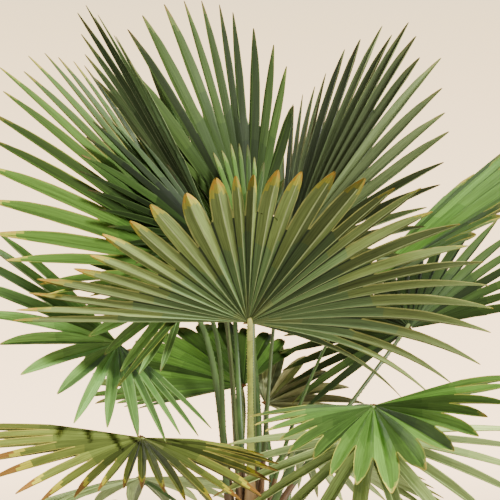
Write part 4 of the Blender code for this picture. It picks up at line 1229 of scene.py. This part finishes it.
def clay_material():
    """Terracotta with fine grit and a whitish bloom that lies in cloudy patches."""
    made = material("clay", CLAY, 0.86, grain=0.12, grain_scale=34.0, bump=0.35,
                    bump_scale=520.0, specular=0.25)
    tree = made.node_tree
    links = tree.links
    shader = tree.nodes["Principled BSDF"]
    body = shader.inputs["Base Color"].links[0].from_socket
    cloud = add_node(tree, "TexNoise", Scale=9.0, Detail=7.0)
    place = add_node(tree, "TexCoord")
    links.new(place.outputs["Object"], cloud.inputs["Vector"])
    amount = add_node(tree, "MapRange", From_Min=0.52, From_Max=0.80, To_Max=0.55)
    links.new(cloud.outputs["Fac"], amount.inputs["Value"])
    blend = add_node(tree, "Mix")
    blend.data_type = "RGBA"
    links.new(amount.outputs["Result"], blend.inputs["Factor"])
    links.new(body, blend.inputs["A"])
    blend.inputs["B"].default_value = linear(BLOOM)
    links.new(blend.outputs["Result"], shader.inputs["Base Color"])
    return made


def soil_sink(radius):
    """How far the soil lies below its middle at a distance from it."""
    return 0.006 * max(0.0, (radius - 0.09) / 0.06)


def build_soil():
    """A soil bed with a lumpy top, which sinks a little towards the pot."""
    dark = material("soil", (62, 46, 36), 0.95, grain=0.4, grain_scale=150.0, bump=0.9,
                    bump_scale=380.0, specular=0.15)
    rings, sides = 26, 120
    points = [(0.0, 0.0, SOIL_TOP)]
    for r in range(1, rings + 1):
        radius = SOIL_RADIUS * r / rings
        for k in range(sides):
            turn = 2 * math.pi * k / sides
            x, y = radius * math.cos(turn), radius * math.sin(turn)
            broad = math.sin(97 * x + 3) * math.sin(83 * y)
            lump = 0.5 * broad + 0.5 * math.sin(211 * x * 1.3 + 190 * y)
            points.append((x, y, SOIL_TOP - soil_sink(radius) + SOIL_LUMP * lump))
    faces = [[0, 1 + k, 1 + (k + 1) % sides] for k in range(sides)]
    faces += [[a, d, c, b] for a, b, c, d in ring_faces(rings, sides, 1)]
    soil = add_piece("soil_bed", points, faces, [dark])
    keep(soil, "soil", "soil")
    build_crumbs()


def build_crumbs():
    """Crumbs of soil and bits of bark, as small eight-sided lumps."""
    tones_of = [material(f"crumb_{k}", colour, 0.9, grain=0.25, grain_scale=300.0, specular=0.15)
                for k, colour in enumerate(CRUMB_TONES)]
    draws = np.random.default_rng(9)
    solid = np.array([(1, 0, 0), (-1, 0, 0), (0, 1, 0), (0, -1, 0), (0, 0, 1), (0, 0, -1)], float)
    eight = [(0, 2, 4), (2, 1, 4), (1, 3, 4), (3, 0, 4), (2, 0, 5), (1, 2, 5), (3, 1, 5), (0, 3, 5)]
    points, faces, tones = [], [], []
    for n in range(CRUMBS):
        radius = math.sqrt(draws.uniform(0.062**2, 0.152**2))
        turn = draws.uniform(0, 2 * math.pi)
        size = draws.uniform(0.0014, 0.0042) * (1.6 if n % 9 == 0 else 1.0)
        long = draws.uniform(1.0, 2.2) if n % 3 == 0 else draws.uniform(0.8, 1.2)
        spin = draws.uniform(0, math.pi)
        shape = solid * size * draws.uniform(0.7, 1.2, (6, 3)) * np.array([long, 0.9, 0.62])
        c, s = math.cos(spin), math.sin(spin)
        x, y, z = shape.T
        shape = np.stack([x * c - y * s, x * s + y * c, z], 1)
        base = len(points)
        points += list(shape + np.array([radius * math.cos(turn), radius * math.sin(turn),
                                         SOIL_TOP - soil_sink(radius) + size * 0.35]))
        faces += [[v + base for v in f] for f in eight]
        tones += [int(draws.choice(4, p=CRUMB_SHARES))] * len(eight)
    crumbs = add_piece("soil_crumbs", points, faces, tones_of, tones, 20.0)
    keep(crumbs, None, "soil")


# Stage


def build_world():
    """A beige backdrop colour round the horizon, where the camera looks, and dimmer light above."""
    world = bpy.context.scene.world or bpy.data.worlds.new("World")
    bpy.context.scene.world = world
    world.use_nodes = True
    tree = world.node_tree
    links = tree.links
    tree.nodes.clear()
    out = add_node(tree, "OutputWorld")
    shade = add_node(tree, "Background")
    place = add_node(tree, "TexCoord")
    split = add_node(tree, "SeparateXYZ")
    height = add_node(tree, "MapRange", From_Min=-1.0, From_Max=1.0)
    ramp = add_node(tree, "ValToRGB")
    ramp.color_ramp.elements.remove(ramp.color_ramp.elements[1])
    for n, (z, colour) in enumerate(WORLD_BANDS):
        spot = (z + 1) / 2
        element = ramp.color_ramp.elements[0] if n == 0 else ramp.color_ramp.elements.new(spot)
        element.position = spot
        element.color = (*(c / WORLD_STRENGTH for c in colour), 1.0)
    links.new(place.outputs["Generated"], split.inputs["Vector"])
    links.new(split.outputs["Z"], height.inputs["Value"])
    links.new(height.outputs["Result"], ramp.inputs["Fac"])
    ahead = add_node(tree, "MapRange", From_Min=WORLD_FALL[0], From_Max=WORLD_FALL[1],
                     To_Min=WORLD_STRENGTH * WORLD_ASIDE, To_Max=WORLD_STRENGTH)
    ahead.interpolation_type = "SMOOTHSTEP"
    links.new(split.outputs["Y"], ahead.inputs["Value"])
    links.new(ahead.outputs["Result"], shade.inputs["Strength"])
    links.new(ramp.outputs["Color"], shade.inputs["Color"])
    links.new(shade.outputs["Background"], out.inputs["Surface"])


def build_stage():
    """A pale floor, the backdrop colour and soft studio lights."""
    build_world()
    data = bpy.data.meshes.new("floor")
    sides = 96
    turns = [2 * math.pi * k / sides for k in range(sides)]
    ring = [(FLOOR_RADIUS * math.cos(t), FLOOR_RADIUS * math.sin(t), -0.0004) for t in turns]
    data.from_pydata(ring, [], [list(range(sides))])
    data.materials.append(material("floor", (226, 219, 210), 0.8, grain=0.01))
    place_object("floor", data)
    for name, at, size, power, colour in LIGHTS:
        lamp = bpy.data.lights.new(name, "AREA")
        lamp.shape = "DISK"
        lamp.size = size
        lamp.energy = power
        lamp.color = colour
        obj = place_object(name, lamp)
        obj.location = at
        aim = Vector((0, 0, 1.05)) - Vector(at)
        obj.rotation_euler = aim.to_track_quat("-Z", "Y").to_euler()


def build_camera():
    """The camera, level and straight on, as far back as the photo's perspective needs."""
    data = bpy.data.cameras.new("camera")
    data.sensor_width = 36.0
    data.lens = CAMERA_LENS
    camera = place_object("camera", data)
    camera.location = (0.0, -CAMERA_BACK, CAMERA_HEIGHT)
    camera.rotation_euler = (math.radians(90), 0.0, 0.0)
    bpy.context.scene.camera = camera


def main():
    """Gives the fans room as the solids have it, then makes every piece and the stage."""
    fans = [Fan(leaf, n + 1) for n, leaf in enumerate(LEAVES)]
    room = Room()
    for leaf in LEAVES:
        room.add(*petiole_solid(leaf))
    for fan in fans:
        room.add(*closed_joined(fan))
    give_room(fans, room)
    leaf_looks = leaf_materials()
    stalk_looks = stalk_materials()
    tongue = material("ligule_skin", (118, 88, 58), 0.75, grain=0.3, grain_scale=260.0, bump=0.5,
                      bump_scale=500.0, specular=0.1)
    for fan in fans:
        build_blade(fan, leaf_looks)
        build_petiole(fan.leaf, stalk_looks)
        build_ligule(fan.leaf, tongue)
    build_trunk()
    build_pot()
    build_soil()
    build_camera()
    build_stage()


main()

bpy.context.view_layer.update()
